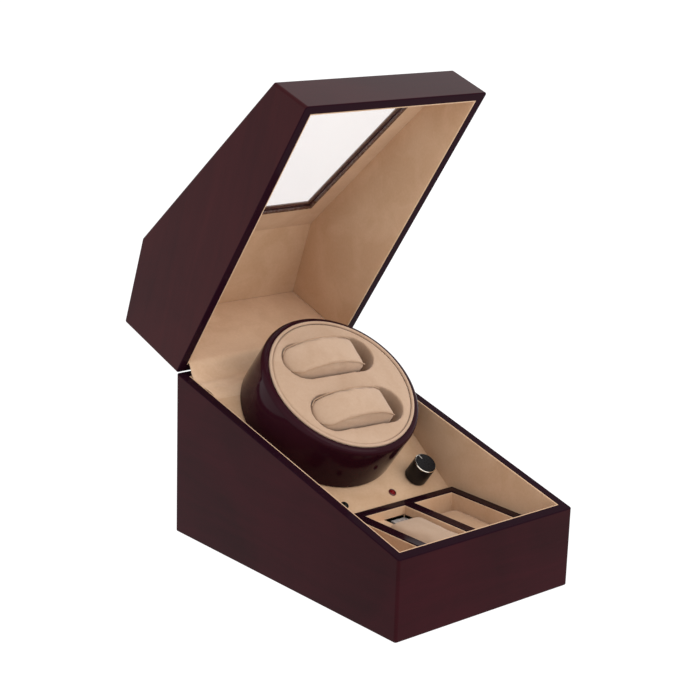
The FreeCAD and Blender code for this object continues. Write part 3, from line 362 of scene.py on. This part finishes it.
def make_lacquers():
    """Burgundy veneer on case and lid, the case's copy darker as painted shade, plum on the drum and a deeper tone
    on the tray.
    """
    # Each Rim colour is painted shade, for dark reflections on the cut edges.
    wine = {"Colour": rgb(57, 18, 22), "Dark": rgb(36, 11, 16), "Rim": rgb(34, 12, 22),
            "Gloss": 0.065}
    # The case's burgundy is the lid's made darker: painted shade on the case's sides.
    shaded_wine = {"Colour": rgb(50, 13, 20), "Dark": rgb(28, 9, 12), "Rim": rgb(32, 12, 22),
            "Gloss": 0.052}
    plum = {"Colour": rgb(46, 16, 25), "Dark": rgb(33, 11, 17), "Rim": rgb(33, 11, 17),
            "Gloss": 0.06}
    deep = {"Colour": rgb(36, 14, 22), "Dark": rgb(27, 11, 18), "Rim": rgb(27, 11, 18),
            "Gloss": 0.06}
    lid_rim = (CASE_DEPTH + 0.1, REAR_HEIGHT + 0.3)
    material("case lacquer", FIGURE, shaded_wine, 0.05, 0.0004,
             rim=rim_level(-RIM_SLOPE, CASE_DEPTH, REAR_HEIGHT))
    material("lid lacquer", FIGURE, wine, 0.05, 0.0004, turn=(LID_OPEN, 0, 0),
             rim=rim_level(LID_OPEN - RIM_SLOPE, *lid_rim))
    material("drum lacquer", FIGURE, plum, 0.03, 0.0003, turn=(-DECK_TILT, 0, 0), rim=NO_RIM)
    material("tray lacquer", FIGURE, deep, 0.03, 0.0003, rim=NO_RIM)


def make_suedes():
    """The suede of linings, cloth, pads, cuffs and seams: a lighter copy as painted sheen, a darker copy for one
    pad, the seams' darker copy partly painted shade, and a dark sheet of painted shade in the well.
    """
    cloth = {"Sheen Weight": 0.25, "Sheen Roughness": 0.5,
             "Sheen Tint": (1.0, 0.93, 0.85, 1), "Specular IOR Level": 0.1}
    material("beige suede", NAP, {"Colour": rgb(212, 178, 146), "Shade": rgb(194, 156, 122)},
             0.35, 0.0003, cloth)
    # A lighter copy of the beige suede: painted sheen of the nap, for the back cloth.
    material("painted sheen suede", NAP, {"Colour": rgb(222, 190, 160), "Shade": rgb(202, 166, 134)},
             0.35, 0.0003, cloth)
    # A darker copy of the suede, for the right pad alone.
    material("darker pad suede", NAP, {"Colour": rgb(190, 154, 122), "Shade": rgb(170, 132, 100)},
             0.35, 0.0003, cloth)
    material("pale suede", NAP, {"Colour": rgb(190, 162, 139), "Shade": rgb(177, 147, 122)},
             0.35, 0.0003, cloth)
    # The seams' darker suede is partly painted shade: it stands in for the shadow line along each seam.
    material("shaded seam suede", NAP, {"Colour": rgb(180, 150, 125), "Shade": rgb(162, 131, 104)},
             0.4, 0.0002, cloth)
    # Painted shade: a dark colour for the sheet in the well's recess.
    material("painted well shade", NAP, {"Colour": rgb(52, 36, 32), "Shade": rgb(38, 26, 24)},
             0.35, 0.0002, {"Specular IOR Level": 0.1})


def make_plastics():
    """Black mouldings, the knobs' caps and their pointers."""
    material("black plastic", HANDLED,
             {"Colour": rgb(30, 25, 26), "Tone": rgb(22, 18, 19), "Size": 900.0,
              "Smooth": 0.32, "Rough": 0.45}, 0.12, 0.0001, {"Specular IOR Level": 0.2})
    material("knob cap", HANDLED,
             {"Colour": rgb(24, 23, 24), "Tone": rgb(16, 15, 16), "Size": 700.0,
              "Smooth": 0.22, "Rough": 0.34}, 0.08, 0.0001, {"Specular IOR Level": 0.12})
    material("pointer white", HANDLED,
             {"Colour": rgb(176, 172, 166), "Tone": rgb(156, 152, 146), "Size": 600.0,
              "Smooth": 0.4, "Rough": 0.5}, 0.05, 0.0001)


def make_metals():
    """Bright, zinc plated and ground steel, brass, and the satin plate of the tray."""
    metal = {"Metallic": 1.0}
    material("bright ring", HANDLED,
             {"Colour": rgb(236, 230, 218), "Tone": rgb(220, 212, 198), "Size": 500.0,
              "Smooth": 0.08, "Rough": 0.18}, 0.03, 0.0001, metal)
    material("zinc steel", HANDLED,
             {"Colour": rgb(190, 190, 188), "Tone": rgb(168, 168, 168), "Size": 500.0,
              "Smooth": 0.25, "Rough": 0.42}, 0.08, 0.0001, metal)
    material("ground steel", HANDLED,
             {"Colour": rgb(200, 200, 200), "Tone": rgb(180, 180, 182), "Size": 800.0,
              "Smooth": 0.15, "Rough": 0.3}, 0.05, 0.0001, metal, scale=(1, 1, 8))
    material("hinge brass", HANDLED,
             {"Colour": rgb(206, 168, 98), "Tone": rgb(180, 140, 76), "Size": 420.0,
              "Smooth": 0.16, "Rough": 0.32}, 0.06, 0.0001, metal, scale=(0.15, 1, 1))
    material("contact plate", HANDLED,
             {"Colour": rgb(214, 211, 210), "Tone": rgb(176, 172, 172), "Size": 300.0,
              "Smooth": 0.2, "Rough": 0.36}, 0.08, 0.0002, {"Metallic": 0.35})


def make_boards_and_lamps():
    """Motor, rubber, boards, window trim and the two lamps."""
    material("motor grey", HANDLED,
             {"Colour": rgb(120, 122, 126), "Tone": rgb(98, 100, 104), "Size": 260.0,
              "Smooth": 0.3, "Rough": 0.5}, 0.1, 0.0001)
    material("foot rubber", HANDLED,
             {"Colour": rgb(34, 30, 30), "Tone": rgb(24, 21, 22), "Size": 500.0,
              "Smooth": 0.6, "Rough": 0.8}, 0.2, 0.0001)
    material("underside board", HANDLED,
             {"Colour": rgb(74, 52, 44), "Tone": rgb(56, 38, 33), "Size": 160.0,
              "Smooth": 0.55, "Rough": 0.75}, 0.15, 0.0002, scale=(1, 0.08, 1))
    material("circuit green", HANDLED,
             {"Colour": rgb(26, 96, 58), "Tone": rgb(18, 74, 44), "Size": 300.0,
              "Smooth": 0.3, "Rough": 0.45}, 0.06, 0.0001)
    material("window trim", HANDLED,
             {"Colour": rgb(98, 68, 58), "Tone": rgb(78, 50, 42), "Size": 260.0,
              "Smooth": 0.2, "Rough": 0.34}, 0.05, 0.0001)
    material("lamp rim", HANDLED,
             {"Colour": rgb(92, 14, 18), "Tone": rgb(70, 10, 14), "Size": 500.0,
              "Smooth": 0.25, "Rough": 0.35}, 0.05, 0.0001)
    material("lamp red", HANDLED,
             {"Colour": rgb(120, 18, 24), "Tone": rgb(96, 12, 18), "Size": 500.0,
              "Smooth": 0.08, "Rough": 0.16}, 0.03, 0.0001,
             {"Emission Color": rgb(200, 30, 38), "Emission Strength": 0.05,
              "Specular IOR Level": 0.08})
    material("lamp green", HANDLED,
             {"Colour": rgb(20, 26, 16), "Tone": rgb(12, 16, 10), "Size": 500.0,
              "Smooth": 0.08, "Rough": 0.16}, 0.03, 0.0001, {"Specular IOR Level": 0.2})


def make_glass():
    """Faintly tinted window glass with a trace of smearing."""
    glass = bpy.data.materials.new("window glass")
    glass.use_nodes = True
    tree = glass.node_tree
    shader = tree.nodes["Principled BSDF"]
    shader.inputs["Base Color"].default_value = (0.985, 0.97, 0.975, 1)
    shader.inputs["Transmission Weight"].default_value = 1
    shader.inputs["IOR"].default_value = 1.45
    place = add(tree, "ShaderNodeTexCoord").outputs["Object"]
    smear = noise_node(tree, place, 22, 3, 0.5)
    tree.links.new(spread(tree, smear, 0.4, 0.7, 0.0, 0.03), shader.inputs["Roughness"])
    MATERIALS["window glass"] = glass


# ---------------------------------------------------------------- making pieces


def place_piece(name, mesh, body, finish, stands_for=()):
    """Puts a finished mesh in the scene, on its body, with its finish."""
    piece = bpy.data.objects.new(name, mesh)
    bpy.context.scene.collection.objects.link(piece)
    mesh.materials.clear()
    mesh.materials.append(MATERIALS[finish])
    if body:
        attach(piece, body)
    if stands_for:
        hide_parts(*stands_for)
    return piece


def mesh_of(bm, name, smooth=True, place=None):
    """The finished mesh of a bmesh, carried to its place."""
    if place is not None:
        bmesh.ops.transform(bm, matrix=place, verts=bm.verts)
    bmesh.ops.recalc_face_normals(bm, faces=bm.faces)
    mesh = bpy.data.meshes.new(name)
    for face in bm.faces:
        face.smooth = smooth
    bm.to_mesh(mesh)
    bm.free()
    return mesh


def spun(outline, segments=96):
    """A closed turned shape from its half outline of (radius, height) points."""
    bm = bmesh.new()
    row = [bm.verts.new((r, 0, z)) for r, z in outline]
    edges = [bm.edges.new((row[i], row[(i + 1) % len(row)])) for i in range(len(row))]
    if outline[0][0] < 1e-6 and outline[-1][0] < 1e-6:
        bm.edges.remove(edges.pop())
    bmesh.ops.spin(bm, geom=row + edges, cent=(0, 0, 0), axis=(0, 0, 1), dvec=(0, 0, 0),
                   angle=math.tau, steps=segments, use_merge=True)
    bmesh.ops.remove_doubles(bm, verts=bm.verts, dist=1e-5)
    return bm


def rounded(outline, radii, steps=8):
    """The same half outline with each corner rounded by its own radius, 0 for a sharp one."""
    points = []
    for i, (corner, radius) in enumerate(zip(outline, radii)):
        corner = Vector(corner)
        if not radius:
            points.append(tuple(corner))
            continue
        before = (Vector(outline[i - 1]) - corner).normalized()
        after = (Vector(outline[(i + 1) % len(outline)]) - corner).normalized()
        half = before.angle(after) / 2
        centre = corner + (before + after).normalized() * radius / math.sin(half)
        start = corner + before * radius / math.tan(half) - centre
        end = corner + after * radius / math.tan(half) - centre
        swing = start.angle_signed(end)
        for k in range(steps + 1):
            spoke = start.copy()
            spoke.rotate(Matrix.Rotation(-swing * k / steps, 2))
            points.append(tuple(centre + spoke))
    return points


def ring_tube(radius, thickness, height, segments=128):
    """A round cord bent into a circle."""
    outline = [(radius + thickness * math.cos(a), height + thickness * math.sin(a))
               for a in (math.tau * k / 12 for k in range(12))]
    return spun(outline, segments)


def merged_copy(node):
    """A CAD node's mesh as one connected surface."""
    bm = bmesh.new()
    bm.from_mesh(NODES[node].data)
    bmesh.ops.remove_doubles(bm, verts=bm.verts, dist=1e-6)
    return bm


def covered_board(node, finish="beige suede", round_over=0.0005):
    """A board with cloth glued round it, so its edges are soft."""
    bm = merged_copy(node)
    bmesh.ops.dissolve_limit(bm, angle_limit=math.radians(1), verts=bm.verts, edges=bm.edges)
    sharp = [e for e in bm.edges
             if len(e.link_faces) == 2 and e.calc_face_angle(0) > math.radians(30)]
    bmesh.ops.bevel(bm, geom=sharp, offset=round_over, offset_type="OFFSET", segments=3,
                    profile=0.5, affect="EDGES", material=-1, clamp_overlap=True)
    mesh = bpy.data.meshes.new(node + "_cloth")
    for face in bm.faces:
        face.smooth = face.calc_area() < 2e-5
    bmesh.ops.triangulate(bm, faces=[f for f in bm.faces if len(f.verts) > 4])
    bm.to_mesh(mesh)
    bm.free()
    return place_piece(node + "_cloth", mesh, BODY_OF[node], finish, [node])


def with_modifier(piece, kind, **settings):
    """Adds a modifier, applies it and leaves only its result."""
    modifier = piece.modifiers.new("step", kind)
    for key, value in settings.items():
        setattr(modifier, key, value)
    bpy.context.view_layer.update()
    graph = bpy.context.evaluated_depsgraph_get()
    mesh = bpy.data.meshes.new_from_object(piece.evaluated_get(graph))
    old = piece.data
    piece.modifiers.clear()
    piece.data = mesh
    bpy.data.meshes.remove(old)
    for polygon in mesh.polygons:
        polygon.use_smooth = True


def smoothed(piece, times, factor=0.5):
    """Evens out a piece's surface, a given number of times."""
    bm = bmesh.new()
    bm.from_mesh(piece.data)
    for _ in range(times):
        bmesh.ops.smooth_vert(bm, verts=bm.verts, factor=factor, use_axis_x=True,
                              use_axis_y=True, use_axis_z=True)
    bm.to_mesh(piece.data)
    bm.free()


def inflate(piece, pressure, cap, frames=20):
    """Swells a closed cloth form by air pressure, no point moving further than cap."""
    rest = [v.co.copy() for v in piece.data.vertices]
    cloth = piece.modifiers.new("cloth", "CLOTH")
    settings = cloth.settings
    settings.quality = 6
    settings.use_pressure = True
    settings.uniform_pressure_force = pressure
    settings.effector_weights.gravity = 0
    settings.tension_stiffness = 20
    settings.compression_stiffness = 20
    settings.bending_stiffness = 1.0
    cloth.point_cache.frame_start = 1
    cloth.point_cache.frame_end = frames
    for number in range(1, frames + 1):
        bpy.context.scene.frame_set(number)
    graph = bpy.context.evaluated_depsgraph_get()
    mesh = bpy.data.meshes.new_from_object(piece.evaluated_get(graph))
    piece.modifiers.clear()
    piece.data = mesh
    bpy.context.scene.frame_set(1)
    for vertex, start in zip(mesh.vertices, rest):
        step = vertex.co - start
        if step.length > cap:
            vertex.co = start + step * (cap / step.length)


def stuffed(name, node, finish, voxel, shrink, pressure, cap):
    """A padded piece grown from its CAD solid: remeshed, drawn in, inflated and smoothed."""
    bm = merged_copy(node)
    piece = place_piece(name, mesh_of(bm, name), None, finish)
    with_modifier(piece, "REMESH", mode="VOXEL", voxel_size=voxel, adaptivity=0)
    smoothed(piece, 4)
    low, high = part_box(node)
    centre = (low + high) / 2
    for vertex in piece.data.vertices:
        offset = vertex.co - centre
        vertex.co = centre + Vector(o * (1 - 2 * shrink / max(s, 1e-6))
                                    for o, s in zip(offset, high - low))
    inflate(piece, pressure, cap)
    smoothed(piece, 2)
    with_modifier(piece, "SUBSURF", levels=1, render_levels=1)
    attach(piece, BODY_OF[node])
    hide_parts(node)
    return piece


# ---------------------------------------------------------------- the turntable


DRUM_RADIUS, DRUM_BORE, DRUM_TOP, DRUM_FLOOR = 77, 70.8, 52.2, 9
DISC_TOP, DISC_EDGE, DISC_ROLL = 53.6, 67.9, 2.6


def make_drum():
    """The lacquered drum, with the rounded rim that catches the light."""
    outline = [(0, 1), (DRUM_RADIUS, 1), (DRUM_RADIUS, DRUM_TOP), (DRUM_BORE, DRUM_TOP),
               (DRUM_BORE, DRUM_FLOOR), (0, DRUM_FLOOR)]
    corner_radii = (0, 1, 5, 0.6, 0, 0)
    bm = spun(rounded(outline, corner_radii), 192)
    mesh = mesh_of(bm, "drum_shell", place=DRUM)
    mesh.set_sharp_from_angle(angle=math.radians(35))
    place_piece("drum_shell", mesh, "turntable", "drum lacquer", ["drum_cup"])


def disc_face(spot):
    """A point of the disc's padded face, held under its rolled edge and then crowned."""
    radius = math.hypot(spot.x, spot.y)
    past_flat = radius - (DISC_EDGE - DISC_ROLL)
    limit = DISC_TOP - 0.5
    if past_flat >= DISC_ROLL:
        limit -= 5
    elif past_flat > 0:
        limit -= DISC_ROLL - math.sqrt(DISC_ROLL ** 2 - past_flat ** 2)
    lift = 0.5 * max(0.0, 1 - (radius / 66) ** 4)
    if spot.z > 50:
        lift += noise.noise(spot / 9) * 0.10 + noise.noise(spot / 3.5) * 0.05
    return Vector((spot.x, spot.y, min(spot.z, limit) + lift))


def make_disc():
    """The padded disc: rolled outer edge in its piping, soft lips on its two pockets."""
    piece = place_piece("padded_disc", mesh_of(merged_copy("drum_insert"), "padded_disc"),
                        None, "pale suede")
    with_modifier(piece, "REMESH", mode="VOXEL", voxel_size=0.0013, adaptivity=0)
    smoothed(piece, 5)
    for vertex in piece.data.vertices:
        spot = DRUM_INVERSE @ vertex.co
        if spot.z > DISC_TOP - 7:
            spot = disc_face(spot)
        vertex.co = DRUM @ spot
    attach(piece, "turntable")
    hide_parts("drum_insert")
    bm = ring_tube(DISC_EDGE + 1.25, 1.45, DISC_TOP - 1)
    place_piece("disc_piping", mesh_of(bm, "disc_piping", place=DRUM), "turntable",
                "pale suede")


CUFF_MIDDLES = {"cushion_lower": -30.2, "cushion_upper": 27.4}
CUFF_WIDTH = 31
ARCH_X, ARCH_Z, ARCH_REACH, ARCH_RISE = -5, 43.6, 43.2, 23.5
ARCH_LEFT, ARCH_RIGHT = 158, 37
NOSE_X, NOSE_RADIUS, NOSE_SHIFT, NOSE_LEAST = -28.7, 19.2, 1.4, 4
SEAM_INSET, SEAM_RADIUS, SEAM_STEPS = 0.8, 0.5, 48


def cuff_seam_point(middle, side, k):
    """A point of the seam along one edge of a cuff's band, from its left end to its right.

    The band is an oval arch seen from the front. In plan its left end is a round nose.
    """
    angle = math.radians(ARCH_LEFT - k * (ARCH_LEFT - ARCH_RIGHT) / SEAM_STEPS)
    x = ARCH_X + ARCH_REACH * math.cos(angle)
    z = ARCH_Z + ARCH_RISE * math.sin(angle)
    half = CUFF_WIDTH / 2
    if x < NOSE_X:
        nose = math.sqrt(max(NOSE_RADIUS ** 2 - (x - NOSE_X) ** 2, NOSE_LEAST ** 2))
        half = min(half, nose + side * NOSE_SHIFT)
    return Vector((x, middle + side * (half - SEAM_INSET), z))


def add_seam(bm, line):
    """A thin round cord along a line of points."""
    previous = None
    for k, point in enumerate(line):
        ahead = line[min(k + 1, SEAM_STEPS)] - line[max(k - 1, 0)]
        turn = ahead.to_track_quat("Z", "Y").to_matrix().to_4x4()
        made = bmesh.ops.create_circle(bm, cap_ends=False, radius=SEAM_RADIUS, segments=8,
                                       matrix=Matrix.Translation(point) @ turn)
        edges = list({e for v in made["verts"] for e in v.link_edges})
        if previous:
            bmesh.ops.bridge_loops(bm, edges=previous + edges)
        else:
            bmesh.ops.holes_fill(bm, edges=edges)
        previous = edges
    bmesh.ops.holes_fill(bm, edges=previous)


def make_cuffs():
    """Two arched cuffs, each with a seam along both edges of its top band."""
    for name, node in (("cuff_lower", "cushion_lower"), ("cuff_upper", "cushion_upper")):
        stuffed(name, node, "pale suede", 0.0022, 0.3 * MM, 4, 1.2 * MM)
        bm = bmesh.new()
        for side in (-1, 1):
            add_seam(bm, [cuff_seam_point(CUFF_MIDDLES[node], side, k)
                          for k in range(SEAM_STEPS + 1)])
        place_piece(name + "_seams", mesh_of(bm, name + "_seams", place=DRUM), node,
                    "shaded seam suede")


# ---------------------------------------------------------------- knobs and lamps


KNOB_RADIUS, KNOB_CAP_RADIUS, KNOB_TOP, KNOB_BORE = 10.6, 9.9, 22, 3
MARK_SIZE, MARK_AT, MARK_TURN = (0.9, 4.4, 0.5), (0, 7.3, 21.9), math.radians(13.6)
LAMP_X, LAMP_Y, LAMP_BOTTOM = 28, -91, -12.4
LENS_RADIUS, LENS_FOOT, LENS_RISE = 2.45, 0.2, 1.5


def make_knobs():
    """Two smooth knobs, each with a dished cap, a bright ring round it and a pointer mark."""
    for name in ("left", "right"):
        body = "knob_" + name
        place = upon(body + "_turn")
        skirt = [(KNOB_BORE, 1), (KNOB_RADIUS, 1), (KNOB_RADIUS, 20.7), (KNOB_BORE, 20.7)]
        bm = spun(rounded(skirt, (0, 0.5, 0.2, 0)))
        place_piece("knob_skirt_" + name, mesh_of(bm, "skirt", place=place), body,
                    "black plastic", [body])
        cap = [(0, 20.5), (KNOB_CAP_RADIUS, 20.5), (KNOB_CAP_RADIUS, KNOB_TOP),
               (8.2, KNOB_TOP), (7.8, 21.7), (0, 21.7)]
        bm = spun(rounded(cap, (0, 0, 0.5, 0.2, 0.2, 0), 4))
        place_piece("knob_cap_" + name, mesh_of(bm, "cap", place=place), body,
                    "knob cap")
        ring = [(9.8, 20.65), (KNOB_RADIUS, 20.65), (KNOB_RADIUS, 21.15), (10.05, 21.6),
                (9.8, 21.6)]
        bm = spun(rounded(ring, (0, 0.1, 0.2, 0.2, 0), 3))
        place_piece("bright_ring_" + name, mesh_of(bm, "ring", place=place), body,
                    "bright ring", ["knob_ring_" + name])
        bm = bmesh.new()
        bmesh.ops.create_cube(bm, size=1)
        bmesh.ops.scale(bm, vec=MARK_SIZE, verts=bm.verts)
        bmesh.ops.bevel(bm, geom=bm.edges, offset=0.12, segments=2, profile=0.5,
                        affect="EDGES", material=-1)
        mark = place @ Matrix.Rotation(MARK_TURN, 4, "Z") @ Matrix.Translation(MARK_AT)
        place_piece("knob_mark_" + name, mesh_of(bm, "mark", False, mark), body,
                    "pointer white")


def make_lamps():
    """Two small domed lamps in their rims, the right one lit red."""
    for side, name, slot, finish, around in (
            (-1, "left", "lamp_green", "lamp green", "black plastic"),
            (1, "right", "lamp_red", "lamp red", "lamp rim")):
        place = DECK @ Matrix.Translation((LAMP_X * side, LAMP_Y, 0))
        dome = [(0, LAMP_BOTTOM), (LENS_RADIUS, LAMP_BOTTOM), (LENS_RADIUS, LENS_FOOT)]
        dome += [(LENS_RADIUS * math.cos(a), LENS_FOOT + LENS_RISE * math.sin(a))
                 for a in (math.radians(15 * k) for k in range(1, 6))]
        dome += [(0, LENS_FOOT + LENS_RISE)]
        place_piece("lamp_lens_" + name, mesh_of(spun(dome, 48), "lens", place=place), "root",
                    finish, ["lamp_" + name])
        rim = rounded([(2.5, -0.1), (3.7, -0.1), (3.7, 0.6), (2.9, 1.0), (2.5, 0.8)],
                      (0, 0, 0.2, 0.2, 0.1), 3)
        place_piece("lamp_rim_" + name, mesh_of(spun(rim, 48), "rim", place=place), "root",
                    around)


# ---------------------------------------------------------------- the tray and the linings


def make_well_shade():
    """A dark sheet in the well behind the middle pad, round the bright plate: painted shade of the well's recess.
    """
    low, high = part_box("bay_plate")
    left, front, right, back = 7, 1, 0.4, 0.8
    low -= Vector((left, front, 0)) * MM
    high += Vector((right, back, 0)) * MM
    high.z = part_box("bay_block")[1].z
    bm = bmesh.new()
    bmesh.ops.create_cube(bm, size=1)
    bmesh.ops.scale(bm, vec=high - low, verts=bm.verts)
    bmesh.ops.translate(bm, vec=(low + high) / 2, verts=bm.verts)
    top = [f for f in bm.faces if f.normal.z > 0.5]
    bmesh.ops.delete(bm, geom=top, context="FACES_ONLY")
    bmesh.ops.reverse_faces(bm, faces=bm.faces)
    bmesh.ops.solidify(bm, geom=bm.faces, thickness=0.3 * MM)
    place_piece("well_shade_sheet", mesh_of(bm, "well_shade_sheet", False), "root", "painted well shade")


def make_tray():
    """Suede cups in the tray's three cells, with the bay and the two pads in them."""
    for name in ("left", "middle", "right"):
        covered_board("compartment_" + name, "beige suede", 0.0004)
    covered_board("bay_block", "beige suede", 0.0008)
    make_well_shade()
    stuffed("pad_middle", "tray_pad_middle", "pale suede", 0.003, 0.7 * MM, 4, 1.4 * MM)
    stuffed("pad_right", "tray_pad_right", "darker pad suede", 0.003, 0.7 * MM, 4, 1.4 * MM)


def make_linings():
    """Suede over the boards of case, lid and deck."""
    for node in ("lining_left", "lining_right", "lining_front", "lining_rear",
                 "lid_lining_left", "lid_lining_right", "lid_lining_top",
                 "lid_lining_slope", "lid_lining_front", "deck_panel"):
        covered_board(node)


# The cloth's route as depth and height from the case's front foot, and where its slack ends.
BACK_CLOTH = ((253.4, 135.1), (255.4, 137.3), (258.5, 139.9), (266, 142.3), (276, 143.7),
              (284.5, 144.8), (289.9, 147.8), (292.4, 152), (293.9, 156.4), (295.4, 160),
              (298.4, 161.3), (303, 162.4), (308.4, 163.8), (341, 175.0), (374.6, 186.65))
SLACK_ENDS = 11
CREASE, WRINKLE = 2.4, 0.6


def cloth_crease(x, reach):
    """How far the slack cloth stands off its route, in millimetres."""
    broad = noise.noise(Vector((x * 18, reach * 130, 0))) * CREASE
    return broad + noise.noise(Vector((x * 60, reach * 330, 4))) * WRINKLE


def make_back_cloth():
    """One cloth from the deck's rear end, slack over the hinge, and on up inside the lid."""
    route = [from_front(0, y, z) for y, z in BACK_CLOTH]
    lengths = [0.0]
    for a, b in zip(route, route[1:]):
        lengths.append(lengths[-1] + (b - a).length)
    total = lengths[-1]
    slack = lengths[SLACK_ENDS]

    def along(reach):
        reach = max(0.0, min(total, reach))
        i = max(k for k in range(len(route) - 1) if lengths[k] <= reach)
        return route[i].lerp(route[i + 1], (reach - lengths[i]) / (lengths[i + 1] - lengths[i]))

    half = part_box("hinge_apron")[1].x + 0.5 * MM
    bm = bmesh.new()
    bmesh.ops.create_grid(bm, x_segments=90, y_segments=84, size=0.5)
    for vertex in bm.verts:
        reach = (vertex.co.y + 0.5) * total
        x = vertex.co.x * 2 * half
        spot = sum((along(reach + step * 2 * MM) for step in (-1, 0, 1)), Vector()) / 3
        free = math.sin(math.pi * reach / slack) ** 0.7 if reach < slack else 0.0
        free *= 1 - abs(x / half) ** 8
        crease = cloth_crease(x, reach)
        vertex.co = (x, spot.y - crease * 0.3 * MM * free, spot.z + crease * MM * free)
    bmesh.ops.solidify(bm, geom=bm.faces, thickness=0.6 * MM)
    # The back cloth takes the lighter copy of the suede, its painted sheen.
    piece = place_piece("back_cloth", mesh_of(bm, "back_cloth"), None,
                        "painted sheen suede")
    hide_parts("hinge_apron", "lid_lining_back")
    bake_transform(piece)


# ---------------------------------------------------------------- the rest of the CAD nodes

KEPT = {
    "case lacquer": ["base_carcass"],
    "tray lacquer": ["tray_frame"],
    "lid lacquer": ["lid_shell"],
    "underside board": ["bottom_panel", "corner_blocks"],
    "zinc steel": ["bottom_screws", "plate_screws", "motor_screws", "hub_screws",
                   "retaining_ring", "bearing_plate"],
    "ground steel": ["spindle", "hinge_pins", "selector_shaft_left", "selector_shaft_right"],
    "foot rubber": ["feet"],
    "black plastic": ["drum_hub", "drum_gear", "motor_pinion", "selector_left",
                      "selector_right", "power_socket"],
    "motor grey": ["gear_motor"],
    "hinge brass": ["spindle_bush", "hinge_case_leaves", "hinge_lid_leaves",
                    "hinge_case_screws", "hinge_lid_screws"],
    "contact plate": ["bay_plate"],
    "circuit green": ["control_board"],
    "window glass": ["window_glass"],
    "window trim": ["window_trim"],
}


def finish_nodes():
    """Gives each CAD node that is shown as it is its material."""
    for finish, names in KEPT.items():
        for name in names:
            mesh = NODES[name].data
            mesh.materials.clear()
            mesh.materials.append(MATERIALS[finish])


make_camera()
make_studio()
make_lacquers()
make_suedes()
make_plastics()
make_metals()
make_boards_and_lamps()
make_glass()
finish_nodes()
make_drum()
make_disc()
make_cuffs()
make_knobs()
make_lamps()
make_tray()
make_linings()
make_back_cloth()
